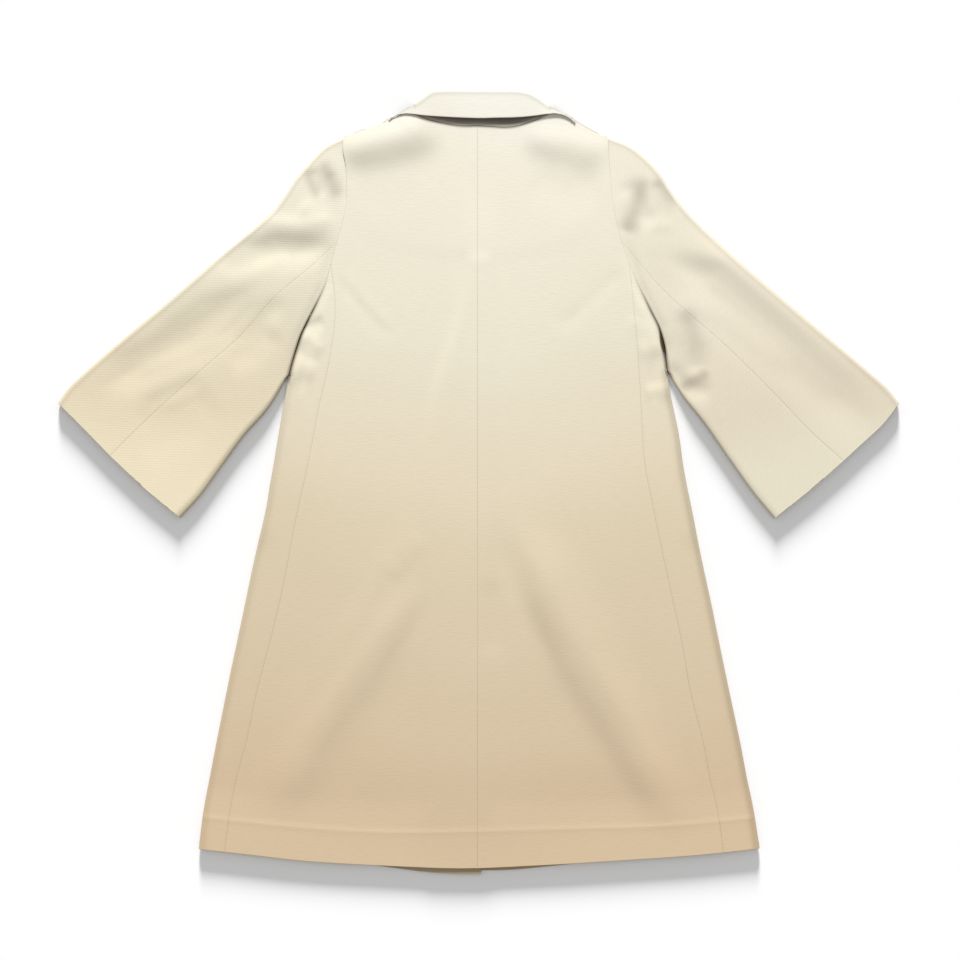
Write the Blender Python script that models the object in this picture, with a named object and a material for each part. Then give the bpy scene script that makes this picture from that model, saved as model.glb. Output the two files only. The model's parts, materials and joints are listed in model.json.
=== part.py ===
"""Long coat in cream wool, laid flat on its front with its back up and its sleeves spread.

The cut: two backs with a centre seam, two side panels that wrap round the sides under the arms, two
fronts that lap under the back, two-piece sleeves, and a turned-down collar of an upper and an under
layer. Each is a cloth wall of its own, 0.3 to 0.4 mm from the next at the seams.

Sizes are in millimetres in a tailor's frame: x to the right from the centre back seam, "down" from
the nape towards the hem, z up from the floor. The last step turns them into metres, +Y from hem to
collar, with the origin on the floor in the middle of the coat.
"""
import math

import bpy
import numpy as np

# ---- driving sizes, mm -----------------------------------------------------------------------------
CLOTH = 2.2              # coat cloth with its pressed seams
COLLAR_CLOTH = 1.8       # pressed collar layers
TURN_UP = 1.6            # second ply inside the hem
HEM_STEP = 8.0           # width of the ridge where the turn-up starts
PLY_AIR = 0.4            # least air between two layers laid on each other
SEAM_GAP = 0.3           # air at the collar's neck seam
COLLAR_AIR = 0.8         # air between the upper and the under collar
SEAM_PULL = 0.2          # each panel stays this far behind the seam line
LOFT = 2.3               # how far the back floats over the fronts
LOFT_LOW, LOFT_HIGH = 0.05, 3.35
NECK_PRESS = 0.95        # share of the loft that the collar presses out
SLEEVE_FULLNESS = 2.2    # more loft in the sleeves, beyond the armhole
SKIRT_FULLNESS = 1.2     # and in the middle of the skirt
ARMHOLE_RAMP = 60.0      # the sleeve's loft grows over this width
SLEEVE_END = (560.0, 600.0)      # no sleeve reaches further down than this
SKIRT_WIDTH = (160.0, 270.0)     # the skirt's fullness fades between these distances from the centre
SKIRT_TOP, SKIRT_END = (430.0, 640.0), (880.0, 960.0)

FOLD_PROBE = 4.0         # a fold's height is read this far inside its edge
BELOW_NECK = (0.0, 200.0)        # places inside the coat, to tell its inner side from its outer one
MIDDLE_BACK = (0.0, 600.0)

SIDE_SEAM_INSET = 40.0   # the front side seam lies this far under the side fold
SIDE_SEAM_START = 6.0
SIDE_SEAM_GROWTH = 8.0   # what each row adds, below the underarm
ARC_CELLS = 4            # facets round a side fold
BODY_ROWS = 30           # rows from the princess seam's top to the turn-up
BACK_SHOULDER_CELLS, BACK_NECK_CELLS = 4, 7
FRONT_SHOULDER_CELLS, FRONT_NECK_CELLS = 4, 4
SIDE_CELLS, SIDE_UNDER_CELLS = 3, 2
SLEEVE_ROWS = 19

COLLAR_CELLS = 2 * BACK_NECK_CELLS      # along the back of the collar
FALL_CELLS = 3           # from the roll line to the fall's edge
ROLL_CELLS = 5
ROLL_OUTER = 4.5         # radius of the upper collar at the roll line
COLLAR_FLAT_CELLS = 2    # cells at each end where the fall lies on the shoulder with no roll
COLLAR_END_CLOTH = 2.2   # the collar's two layers pressed together, where they lie under the fronts
COLLAR_FRONT_LIFT = COLLAR_END_CLOTH + PLY_AIR
COLLAR_END_HEIGHT = 12.1 # upper layer's middle at the collar's two ends on the shoulders
FALL_EDGE_HEIGHT = 17.6  # upper layer's middle at the fall's edge, centre back
ROLL_HEIGHT = 10.6       # upper layer's middle at the roll line, centre back

# ---- tables: places on the laid coat, mm -----------------------------------------------------------
# (x left side, down left side, x right side, down right side), from the shoulder to the underarm
ARMHOLE = (
    (-188, 17, 183, 17), (-188, 34, 183, 36), (-184, 58, 185, 58), (-183, 86, 187, 86),
    (-184, 112, 190, 112), (-190, 140, 195, 138), (-197, 164, 201, 162), (-205, 193, 212, 193),
    (-213, 222, 223, 219), (-226, 249, 233, 238), (-238, 272, 244, 260), (-248, 294, 255, 283),
    (-257, 322, 262, 314), (-264, 350, 265.5, 343),
)
SLEEVE_SEAM_STATION = 6      # the sleeve's back seam meets the armhole here
PRINCESS_STATION = 7         # and the seam of the side panel here
FRONT_SLEEVE_STATION = 11    # the sleeve's hidden front seam
UNDERARM = len(ARMHOLE) - 1

# (down, x left, x right)
PRINCESS_SEAM = (
    (193, -205, 212), (258, -199, 219), (328, -207, 225), (395, -222, 229), (473, -237, 234),
    (546, -253, 248), (664, -276, 273), (714, -288, 284), (798, -310, 299), (865, -324, 316),
    (913, -337, 325), (960, -346, 336), (1018, -354, 344),
)
SIDE_EDGE = (
    (340, -264, 265), (350, -264, 266), (378, -269, 270.5), (430, -278, 281.5), (479, -286.2, 288.4),
    (512, -292, 294.7), (537, -296, 300), (563, -302, 305), (588, -308, 309.8), (613, -313.6, 315),
    (664, -324.3, 326.1), (714, -334.7, 336.3), (764, -345.4, 346.6), (815, -355.7, 357.4),
    (865, -365.7, 368), (916, -375.4, 377.6), (953, -382.5, 385.6), (980, -386.3, 390),
    (1012, -390, 395),
)
# (x, down)
HEM = (
    (-390, 1012), (-327, 1019), (-248, 1028), (-136, 1036), (-2, 1040), (65, 1037), (200, 1028),
    (334, 1018), (395, 1011),
)
SHOULDER = {
    "left": ((-188, 17), (-173, 10), (-145, 0), (-128, -6.5), (-117, -11)),
    "right": ((183, 17), (164, 8), (143, -4), (128.5, -11)),
}
BACK_NECK = {
    "left": ((-117, -11), (-105, -17.5), (-91, -17.5), (-78, -12.5), (-64, -7.6), (-49, -3.8), (-34, -1),
             (-20, 0.5), (0, 0)),
    "right": ((128.5, -11), (115, -18), (100, -17), (85, -9.5), (67.5, -3), (53, 1), (38.5, 2.4),
              (24, 1.6), (0, 0)),
}
FRONT_NECK = {
    "left": ((-117, -11), (-104, 30), (-84, 60), (-52, 84), (-2, 95)),
    "right": ((128.5, -11), (112, 30), (90, 60), (54, 84), (2, 95)),
}
# (x, down): the sewing line of the turned-up hem
TURN_UP_LINE = (
    (-390, 964), (-344, 968.8), (-248, 978.6), (-125, 985.6), (-2, 984.2), (143, 980), (255, 977),
    (323, 971.6), (395, 964),
)
# (down, x): the free edges of the fronts; the right one lies under the left one
FRONT_EDGE = {
    "left": ((95, -2), (300, 0), (700, 3), (1047, 5)),
    "right": ((95, 2), (200, 2), (280, -14), (370, -43), (440, -54), (500, -55), (1043, -55)),
}
FRONT_HEM = {
    "left": ((-390, 1011), (-248, 1027), (-150, 1034), (-100, 1041), (-50, 1046), (5, 1047)),
    "right": ((-55, 1042), (6, 1042), (65, 1040), (110, 1035), (200, 1027), (395, 1010)),
}
SLEEVE_TOP = {
    "left": ((-188, 17), (-197, 20.5), (-220, 35), (-243, 62), (-260, 81), (-275, 108), (-293, 126),
             (-352, 176), (-430, 244), (-510, 311), (-547.5, 344), (-571.5, 367), (-587, 388)),
    "right": ((183, 17), (191, 20), (215, 29), (239, 49), (258, 71), (277, 101), (295, 122),
              (351, 176), (429, 244), (508, 311), (547, 344), (581, 376), (590, 388)),
}
SLEEVE_SEAM = {
    "left": ((-197, 164), (-232, 196), (-282, 238), (-332, 294), (-383, 339), (-470, 418), (-514, 462)),
    "right": ((201, 162), (262, 232), (344, 305), (428, 388), (464, 426), (512, 469)),
}
SLEEVE_UNDER = {
    "left": ((-266, 351), (-293, 396), (-326, 434), (-362, 483), (-390, 521), (-416, 549)),
    "right": ((267, 345), (286, 377), (316, 416), (355, 472), (386, 515), (415, 550)),
}
CUFF = {
    "left": ((-587, 388), (-552, 423), (-514, 462), (-465, 508), (-416, 549)),
    "right": ((590, 388), (572, 412), (538, 445), (512, 469), (463, 512), (415, 550)),
}
# collar: the roll line is its top outline, the fall's edge its lower one
ROLL_LINE = (
    (-124.5, -9), (-106, -20), (-96, -26.5), (-80, -37), (-71, -44), (-63, -48.8), (-52, -50.2),
    (-28, -50.4), (1, -50.4), (32, -50.3), (57, -49.8), (70, -47.6), (84, -40.5), (97, -31),
    (114, -21.5), (128, -14), (137.5, -6.5),
)
FALL_EDGE = (
    (-124, -6), (-118.7, -10.9), (-107, -15.5), (-92.7, -16), (-77.8, -14.2), (-49, -12), (-20, -10.5),
    (3.5, -9.8), (27, -10.4), (53, -11), (67.4, -12), (81.7, -13.6), (96.7, -15.7), (116.6, -15.2),
    (125.6, -11.8), (136.6, -3),
)
# (inner x, inner down, outer x, outer down): the hidden collar ends on the fronts
COLLAR_FRONT = {
    "left": ((-106, -16, -119, -7), (-103, 5, -128, 6), (-99, 24, -132, 32), (-80, 52, -130, 66),
             (-55, 76, -108, 102), (-32, 88, -82, 124), (-10, 93, -58, 136)),
    "right": ((117, -16, 132, -6), (113, 5, 139, 8), (108, 24, 142, 32), (87, 52, 139, 66),
              (60, 76, 116, 102), (35, 88, 88, 124), (12, 93, 62, 136)),
}
NECK_PAD = {
    "down": 50.0, "half_width": 182.0, "half_depth": 128.0, "power": 2.8, "flat": 0.78, "end": 1.35,
}
PANEL_TIP = {"left": (-0.4, 6.0), "right": (1.0, 6.0)}      # side panel's tip from its armhole station

# the largest folds: (x, down) at three or four places, rise above or below the loft, half width
FOLDS = (
    (((-196, 15), (-145, -3), (-110, -10)), -2.0, 13),           # left shoulder rolls to its seam
    (((190, 15), (140, -8), (118, -10)), -2.0, 13),              # right shoulder
    (((-200, 150), (-213, 222), (-248, 294), (-268, 365)), -2.2, 8),   # left lower armhole
    (((204, 150), (223, 219), (255, 283), (270, 360)), -2.2, 8),       # right lower armhole
    (((-190, 55), (-130, 66), (-72, 66)), -1.3, 20),             # hollow under the left shoulder
    (((74, 58), (135, 66), (186, 80)), -1.3, 20),                # under the right shoulder
    (((-236, 60), (-228, 84), (-219, 104)), -1.6, 9),            # left sleeve head
    (((-207, 64), (-197, 84), (-192, 104)), -1.1, 8),
    (((-252, 110), (-234, 122), (-200, 130)), 0.9, 12),
    (((-360, 206), (-280, 168), (-200, 170)), -2.3, 15),         # left sleeve's first long fold
    (((-310, 236), (-416, 298), (-530, 352)), -1.9, 17),         # and its second
    (((-330, 285), (-420, 318), (-500, 352)), 0.9, 13),
    (((-380, 352), (-428, 374), (-474, 396)), -0.8, 12),
    (((-345, 318), (-304, 280), (-270, 238)), -1.3, 14),
    (((203, 76), (226, 112), (246, 146)), -1.7, 12),             # right sleeve head
    (((244, 76), (262, 95), (276, 116)), -0.9, 9),
    (((262, 182), (340, 208), (440, 292), (545, 390)), -2.1, 15),      # right sleeve's long fold
    (((280, 230), (350, 268), (450, 350)), 0.9, 16),
    (((286, 255), (302, 310), (306, 356)), -1.5, 12),
    (((-218, 262), (-241, 318), (-249, 380)), -1.5, 8),          # crumples under the left arm
    (((-230, 290), (-252, 345), (-259, 410)), 0.7, 7),
    (((252, 306), (247, 350), (247, 396)), -1.5, 8),             # under the right arm
    (((226, 240), (238, 274), (243, 312)), 0.8, 8),
    (((-200, 200), (-162, 244), (-110, 300)), -1.0, 15),         # drag lines to the middle back
    (((208, 192), (160, 234), (108, 292)), -1.0, 15),
    (((22, 540), (56, 620), (102, 715), (262, 960)), -2.2, 22),  # skirt, right of the centre
    (((86, 560), (150, 680), (250, 860)), 1.0, 24),
    (((-50, 640), (-120, 727), (-186, 815), (-275, 940)), -1.9, 20),   # skirt, left of the centre
    (((-84, 520), (-156, 675), (-250, 800), (-290, 930)), 0.9, 20),
    (((20, 630), (20, 695), (20, 750)), -0.7, 16),
)
LAP_RISE = CLOTH + SEAM_GAP     # the left front climbs this much where it lies on the right one
LAP_LEAST = 2.0          # least width of the lap's flat part
LAP_KEEP = 3             # columns of the left front that move to the lap
LAP_RAMP = (30.0, 6.0)           # it climbs between these distances before the right front's edge
BACK_RAMP = (6.0, 36.0)          # the back settles again over this stretch


# ---- lines and patches ------------------------------------------------------------------------------
def smoothstep(low, high, value):
    """0 up to low, 1 from high on, with a soft turn at both ends."""
    t = np.clip((value - low) / (high - low), 0.0, 1.0)
    return t * t * (3.0 - 2.0 * t)


def hermite(knots, values, at):
    """A smooth line through values at rising knots, read at the places in at."""
    knots = np.array(knots, float)
    values = np.array(values, float)
    slopes = np.gradient(values, knots, axis=0)
    cell = np.clip(np.searchsorted(knots, at, side="right") - 1, 0, len(knots) - 2)
    width = knots[cell + 1] - knots[cell]
    t = np.clip((at - knots[cell]) / width, 0.0, 1.0)
    if values.ndim == 2:
        t, width = t[..., None], width[..., None]
    start, end = values[cell], values[cell + 1]
    pull = ((t - 2.0) * t + 1.0) * t * slopes[cell] + (t - 1.0) * t * t * slopes[cell + 1]
    return start + (end - start) * t * t * (3.0 - 2.0 * t) + pull * width


def along(points, fractions):
    """Places at the given fractions of the length of a smooth line through the points."""
    points = np.array(points, float)
    steps = np.linalg.norm(np.diff(points, axis=0), axis=1)
    reach = np.concatenate([[0.0], np.cumsum(steps)])
    return hermite(reach, points, np.asarray(fractions, float) * reach[-1])


def even(cells):
    """cells + 1 even fractions from 0 to 1."""
    return np.linspace(0.0, 1.0, cells + 1)


def patch(rows, columns, first, last, top, bottom):
    """A grid of places between four border lines: first and last column, top and bottom row."""
    r = np.asarray(rows)[:, None, None]
    c = np.asarray(columns)[None, :, None]
    sides = (1 - c) * first[:, None] + c * last[:, None]
    ends = (1 - r) * top[None] + r * bottom[None]
    corners = ((1 - r) * ((1 - c) * top[0] + c * top[-1]) + r * ((1 - c) * bottom[0] + c * bottom[-1]))
    return sides + ends - corners


def pull_back(grid, sides, distance=SEAM_PULL):
    """Draw the named borders of a grid in from the seam line, each towards its neighbours."""
    grid = grid.copy()
    for side in sides:
        turned = {"first": grid.swapaxes(0, 1), "last": grid.swapaxes(0, 1)[::-1],
                  "top": grid, "bottom": grid[::-1]}[side]
        reach = turned[1] - turned[0]
        turned[0] += distance * reach / np.linalg.norm(reach, axis=1)[:, None]
    return grid


def inward(points, towards):
    """Unit directions square to a line, on the side where the place towards lies."""
    tangent = np.gradient(np.asarray(points, float), axis=0)
    across = np.stack([-tangent[:, 1], tangent[:, 0]], axis=1)
    across /= np.linalg.norm(across, axis=1)[:, None]
    facing = np.sign(np.sum(across * (np.asarray(towards, float) - points), axis=1))
    return across * facing[:, None]


# ---- heights of the laid layers ---------------------------------------------------------------------
def neck_pad(x, down):
    """1 where the collar's ends lie under the fronts, falling to 0 around them."""
    pad = NECK_PAD
    spread = (np.abs(x / pad["half_width"]) ** pad["power"]
              + np.abs((down - pad["down"]) / pad["half_depth"]) ** pad["power"])
    return 1.0 - smoothstep(pad["flat"], pad["end"], spread)


def height_on(table, x):
    """How far down a tabled line lies at x."""
    return hermite(*np.array(table, float).T, np.asarray(x, float))


def hem_zone(x, down):
    """1 over the turned-up hem, 0 above it."""
    return smoothstep(0.0, HEM_STEP, down - height_on(TURN_UP_LINE, x))


def right_edge(down):
    """Where the free edge of the right front lies."""
    return hermite(*np.array(FRONT_EDGE["right"], float).T, np.asarray(down, float))


def lap(x, down):
    """How far the left front has climbed onto the right one, 0 to 1."""
    edge = right_edge(down)
    climb = smoothstep(edge - LAP_RAMP[0], edge - LAP_RAMP[1], x)
    return climb * (1.0 - neck_pad(x, down)) * (LAP_RISE + TURN_UP * hem_zone(x, down))


def folds(x, down):
    """The sum of the folds at a place: each is a soft ridge or trough that fades to its ends."""
    total = np.zeros(np.shape(x))
    for path, rise, half_width in FOLDS:
        path = np.array(path, float)
        steps = np.diff(path, axis=0)
        lengths = np.linalg.norm(steps, axis=1)
        nearest = np.full(np.shape(x), np.inf)
        share = np.zeros(np.shape(x))
        for start, step, length, before in zip(path, steps, lengths, np.cumsum(lengths) - lengths):
            t = np.clip(((x - start[0]) * step[0] + (down - start[1]) * step[1]) / length ** 2, 0, 1)
            off = np.hypot(x - start[0] - t * step[0], down - start[1] - t * step[1])
            share = np.where(off < nearest, (before + t * length) / lengths.sum(), share)
            nearest = np.minimum(nearest, off)
        fade = smoothstep(0.0, 0.25, share) * (1.0 - smoothstep(0.75, 1.0, share))
        total += rise * fade * np.exp(-(nearest / half_width) ** 2)
    return total


def fullness(x, down):
    """More loft than elsewhere: in the sleeves beyond the armhole, and in the middle of the skirt."""
    arm = np.array(ARMHOLE, float)
    level = np.clip(down, arm[0, 1], arm[-1, 1])
    left = -hermite(arm[:, 1], arm[:, 0], level)
    right = hermite(arm[:, 3], arm[:, 2], level)
    beyond = np.abs(x) - np.where(x < 0, left, right)
    sleeve = smoothstep(0.0, ARMHOLE_RAMP, beyond) * (1.0 - smoothstep(*SLEEVE_END, down))
    middle = 1.0 - smoothstep(*SKIRT_WIDTH, np.abs(x))
    length = smoothstep(*SKIRT_TOP, down) * (1.0 - smoothstep(*SKIRT_END, down))
    return SLEEVE_FULLNESS * sleeve + SKIRT_FULLNESS * middle * length


def loft(x, down):
    """Air between the front layer and the back layer, beyond the least."""
    more = fullness(x, down)
    high = LOFT_HIGH + 2 * more
    middle, half = (LOFT_LOW + high) / 2, (high - LOFT_LOW) / 2
    free = LOFT + more + folds(x, down) * (1.0 + more / LOFT)
    soft = middle + half * np.tanh((free - middle) / half)
    return soft * (1.0 - NECK_PRESS * neck_pad(x, down))


def floor_layer(x, down):
    """Middle of the layer on the floor."""
    return CLOTH / 2 + COLLAR_FRONT_LIFT * neck_pad(x, down)


def left_front_layer(x, down):
    """Middle of the left front, which laps over the right one."""
    return floor_layer(x, down) + lap(x, down)


def back_layer(x, down):
    """Middle of the upper layer, laid over the fronts."""
    below = floor_layer(x, down) + CLOTH / 2 + TURN_UP * hem_zone(x, down)
    settled = 1.0 - smoothstep(BACK_RAMP[0], BACK_RAMP[1], x)
    own_turn_up = TURN_UP * hem_zone(x, down)
    return below + lap(x, down) * settled + PLY_AIR + loft(x, down) + own_turn_up + CLOTH / 2


def sleeve_layer(x, down):
    """Middle of a sleeve's upper layer, whose lower one lies on the floor."""
    return CLOTH + PLY_AIR + loft(x, down) + CLOTH / 2


def sleeve_floor(x, down):
    """Middle of a sleeve's lower layer."""
    return np.full(np.shape(x), CLOTH / 2)


def raised(grid, height, upward=True, reach=1.0):
    """Points and outer directions of a grid of places at a layer's height."""
    x, down = grid[..., 0], grid[..., 1]
    z = height(x, down)
    slope_x = (height(x + reach, down) - height(x - reach, down)) / (2 * reach)
    slope_down = (height(x, down + reach) - height(x, down - reach)) / (2 * reach)
    points = np.stack([x, down, z], axis=-1)
    facing = np.stack([-slope_x, -slope_down, np.ones_like(z)], axis=-1)
    facing /= np.linalg.norm(facing, axis=-1)[..., None]
    return points, facing if upward else -facing


def start_of_fold(edge, towards_cloth, layer):
    """Where the cloth above a fold starts to bend down, and how high it lies there."""
    probe = edge + towards_cloth * FOLD_PROBE
    radius = (layer(probe[:, 0], probe[:, 1]) - CLOTH / 2) / 2
    start = edge + towards_cloth * (CLOTH / 2 + radius)[:, None]
    return start, layer(start[:, 0], start[:, 1])


def side_arc(edge, towards_cloth, top_height, cells, bottom_height=CLOTH / 2, cloth=CLOTH):
    """Rows of points round a fold whose outside reaches the edge line, and their outer directions."""
    radius = (top_height - bottom_height) / 2
    centre = edge + towards_cloth * (cloth / 2 + radius)[:, None]
    points, facings = [], []
    for angle in np.linspace(math.pi / 2, -math.pi / 2, cells + 1)[1:-1]:
        out = -towards_cloth * math.cos(angle)
        facings.append(np.column_stack([out, np.full(len(edge), math.sin(angle))]))
        flat = centre + out * radius[:, None]
        points.append(np.column_stack([flat, bottom_height + radius * (1 + math.sin(angle))]))
    return np.stack(points, axis=1), np.stack(facings, axis=1)


# ---- cloth walls ------------------------------------------------------------------------------------
class Wall:
    """A cloth wall: a middle surface of points, given its thickness to both sides."""

    def __init__(self, cloth):
        self.cloth = cloth
        self.points, self.facings, self.inner, self.faces = [], [], [], []

    def add(self, points, facings, extra_inside=0.0):
        """Add a grid of points and return their numbers, in the grid's shape."""
        shape = points.shape[:-1]
        start = sum(len(block) for block in self.points)
        self.points.append(points.reshape(-1, 3))
        self.facings.append(facings.reshape(-1, 3))
        self.inner.append(self.cloth / 2 + np.broadcast_to(extra_inside, shape).reshape(-1))
        return start + np.arange(int(np.prod(shape))).reshape(shape)

    def weave(self, numbers):
        """Faces between neighbouring rows and columns of a grid of point numbers."""
        for upper, lower in zip(numbers[:-1], numbers[1:]):
            for a, b, c, d in zip(upper[:-1], lower[:-1], lower[1:], upper[1:]):
                self.faces.append((int(a), int(b), int(c), int(d)))

    def fan(self, tip, row):
        """Triangles from one point to a row that follows it."""
        for a, b in zip(row[:-1], row[1:]):
            self.faces.append((int(tip), int(a), int(b)))

    def solid(self):
        """Corners and faces of the closed wall."""
        points = np.concatenate(self.points)
        facings = np.concatenate(self.facings)
        inner = np.concatenate(self.inner)[:, None]
        corners = np.concatenate([points + facings * self.cloth / 2, points - facings * inner])
        count = len(points)
        faces = list(self.faces) + [tuple(n + count for n in reversed(face)) for face in self.faces]
        edges = {(face[k - 1], face[k]) for face in self.faces for k in range(len(face))}
        for a, b in sorted(edges):
            if (b, a) not in edges:
                faces.append((b, a, a + count, b + count))
        return corners, faces


# ---- the pieces -------------------------------------------------------------------------------------
def body_downs(start, foot_x, skip=0):
    """Row places from the top of the princess seam, or a later row, to the hem at foot_x."""
    turn_up = float(height_on(TURN_UP_LINE, foot_x))
    hem = float(height_on(HEM, foot_x))
    rows = np.linspace(start, turn_up, BODY_ROWS + 1 - skip)
    return np.concatenate([rows, [turn_up + HEM_STEP, (turn_up + hem) / 2, hem]])


def line_at(table, column, downs):
    """Places on a line that is tabled by its down values."""
    table = np.array(table, float)
    return np.column_stack([hermite(table[:, 0], table[:, column], downs), downs])


def stations(side):
    """The armhole's stations on one side."""
    table = np.array(ARMHOLE, float)
    return table[:, :2] if side == "left" else table[:, 2:]


def table_column(side):
    return 1 if side == "left" else 2


def princess_line(side):
    """Rows of the princess seam, from its top to the hem."""
    column = table_column(side)
    downs = body_downs(PRINCESS_SEAM[0][0], PRINCESS_SEAM[-1][column])
    return line_at(PRINCESS_SEAM, column, downs)


def side_line(side):
    """Rows of the side fold's outline, from the underarm to the hem."""
    column = table_column(side)
    skip = UNDERARM - PRINCESS_STATION
    downs = body_downs(stations(side)[-1][1], SIDE_EDGE[-1][column], skip)
    return line_at(SIDE_EDGE, column, downs)


def front_seam_line(side):
    """Rows of the hidden seam between side panel and front."""
    edge = side_line(side)
    inset = np.minimum(SIDE_SEAM_START + SIDE_SEAM_GROWTH * np.arange(len(edge)), SIDE_SEAM_INSET)
    line = edge.copy()
    line[:, 0] += inset if side == "left" else -inset
    line[-1, 1] = height_on(HEM, line[-1, 0]) - 1.0
    return line


def row_fractions(line):
    """How far down a line each of its rows is, 0 to 1."""
    return (line[:, 1] - line[0, 1]) / (line[-1, 1] - line[0, 1])


def back_panel(side):
    """A back, from the centre seam to the armhole and the princess seam."""
    outer = np.concatenate([stations(side)[:PRINCESS_STATION], princess_line(side)])
    upper = np.linspace(0.0, 1.0, PRINCESS_STATION + 1)[:-1] * PRINCESS_SEAM[0][0]
    downs = np.concatenate([upper, body_downs(PRINCESS_SEAM[0][0], 0.0)])
    centre = np.column_stack([np.zeros(len(downs)), downs])
    top = np.concatenate([along(SHOULDER[side], even(BACK_SHOULDER_CELLS))[:-1],
                          along(BACK_NECK[side], even(BACK_NECK_CELLS))])
    columns = even(len(top) - 1)
    foot_x = outer[-1, 0] * (1 - columns)
    bottom = np.column_stack([foot_x, height_on(HEM, foot_x)])
    bottom[0], bottom[-1] = outer[-1], centre[-1]
    grid = patch(row_fractions(centre), columns, outer, centre, top, bottom)
    grid = pull_back(grid, ("first", "last"))
    wall = Wall(CLOTH)
    points, facings = raised(grid, back_layer)
    wall.weave(wall.add(points, facings, TURN_UP * hem_zone(grid[..., 0], grid[..., 1])))
    return wall


def side_panel(side):
    """An underarm panel: a flap on the back, the side fold, and a strip on the floor."""
    seam = princess_line(side)[1:]
    arm = stations(side)[PRINCESS_STATION + 1:]
    edge = side_line(side)
    cloth_side = inward(edge, MIDDLE_BACK)
    fold_start, fold_height = start_of_fold(edge, cloth_side, back_layer)
    rim = np.concatenate([arm[:-1], fold_start])
    columns = even(SIDE_CELLS)[None, :, None]
    flap = seam[:, None] * (1 - columns) + rim[:, None] * columns
    flap = pull_back(flap, ("first",))
    flap[:len(arm) - 1] = pull_back(flap[:len(arm) - 1], ("last",))
    wall = Wall(CLOTH)
    hem_ply = TURN_UP * hem_zone(flap[..., 0], flap[..., 1])
    top = wall.add(*raised(flap, back_layer), hem_ply)
    wall.weave(top)
    tip = stations(side)[PRINCESS_STATION] + PANEL_TIP[side]
    tip_number = wall.add(*raised(tip[None, None], back_layer))[0, 0]
    wall.fan(tip_number, top[0])
    fold_rows = top[len(arm) - 1:]
    arc, arc_facing = side_arc(edge, cloth_side, fold_height, ARC_CELLS)
    edge_ply = TURN_UP * hem_zone(edge[:, 0], edge[:, 1])[:, None]
    arc_numbers = wall.add(arc, arc_facing, edge_ply)
    seam_under = front_seam_line(side)
    columns = even(SIDE_UNDER_CELLS)[None, :, None]
    strip = fold_start[:, None] * (1 - columns) + seam_under[:, None] * columns
    strip = pull_back(strip, ("last",))
    strip_ply = TURN_UP * hem_zone(strip[..., 0], strip[..., 1])
    strip_numbers = wall.add(*raised(strip, sleeve_floor, upward=False), strip_ply)
    wall.weave(np.hstack([fold_rows[:, -1:], arc_numbers, strip_numbers]))
    return wall


def columns_at_lap(grid):
    """The left front's grid with its last columns placed where it climbs onto the right front."""
    keep = grid.shape[1] - LAP_KEEP
    rows = []
    for row in grid:
        edge, free = float(right_edge(row[-1, 1])), row[-1, 0]
        foot, head = edge - LAP_RAMP[0], min(edge - LAP_RAMP[1], free - LAP_LEAST)
        places = np.array([foot, (foot + head) / 2, head, (head + free) / 2, free])
        lapped = np.column_stack([places, np.interp(places, row[:, 0], row[:, 1])])
        rows.append(np.concatenate([row[:keep], lapped]))
    return np.stack(rows)


def front_panel(side):
    """A front, face down on the floor, from the armhole and side seam to its free edge."""
    outer = np.concatenate([stations(side)[:-1], front_seam_line(side)])
    height = left_front_layer if side == "left" else floor_layer
    edge_table = FRONT_EDGE[side]
    foot = float(height_on(FRONT_HEM[side], edge_table[-1][1]))
    fractions = row_fractions(outer)
    top = np.concatenate([along(SHOULDER[side], even(FRONT_SHOULDER_CELLS))[:-1],
                          along(FRONT_NECK[side], even(FRONT_NECK_CELLS))])
    turn_up = float(height_on(TURN_UP_LINE, edge_table[-1][1]))
    upper = top[-1, 1] + fractions[:-3] / fractions[-4] * (turn_up - top[-1, 1])
    downs = np.concatenate([upper, [turn_up + HEM_STEP, (turn_up + foot) / 2, foot]])
    inner = line_at(edge_table, 1, downs)
    inner[0] = top[-1]
    columns = even(len(top) - 1)
    foot_x = outer[-1, 0] + (inner[-1, 0] - outer[-1, 0]) * columns
    bottom = np.column_stack([foot_x, height_on(FRONT_HEM[side], foot_x)])
    bottom[0], bottom[-1] = outer[-1], inner[-1]
    grid = patch(fractions, columns, outer, inner, top, bottom)
    if side == "left":
        grid = columns_at_lap(grid)
    grid = pull_back(grid, ("first",))
    wall = Wall(CLOTH)
    ply = TURN_UP * hem_zone(grid[..., 0], grid[..., 1])
    wall.weave(wall.add(*raised(grid, height, upward=False), ply))
    return wall


def sleeve_plan(side):
    """Places of the whole sleeve: rows from armhole to cuff, columns from its top to its under edge."""
    rows = even(SLEEVE_ROWS)
    arm = stations(side)
    cuff = CUFF[side]
    seam_corner = SLEEVE_SEAM[side][-1]
    seam_knot = cuff.index(seam_corner)
    seam = along(SLEEVE_SEAM[side], rows)
    upper_cells = SLEEVE_SEAM_STATION
    lower_cells = UNDERARM - SLEEVE_SEAM_STATION
    upper = patch(rows, even(upper_cells), along(SLEEVE_TOP[side], rows), seam,
                  arm[:upper_cells + 1], along(cuff[:seam_knot + 1], even(upper_cells)))
    under_edge = along(SLEEVE_UNDER[side], rows)
    arm_low = arm[upper_cells:].copy()
    arm_low[-1] = under_edge[0]
    lower = patch(rows, even(lower_cells), seam, under_edge,
                  arm_low, along(cuff[seam_knot:], even(lower_cells)))
    return np.concatenate([upper, lower[:, 1:]], axis=1)


def sleeve_fold(edge, next_column, towards):
    """Start places, arc points and directions of a sleeve's fold along one of its edges."""
    cloth_side = inward(edge, towards)
    for row in (0, -1):
        across = next_column[row] - edge[row]
        cloth_side[row] = across / np.linalg.norm(across)
    start, height = start_of_fold(edge, cloth_side, sleeve_layer)
    return start, side_arc(edge, cloth_side, height, ARC_CELLS)


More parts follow.
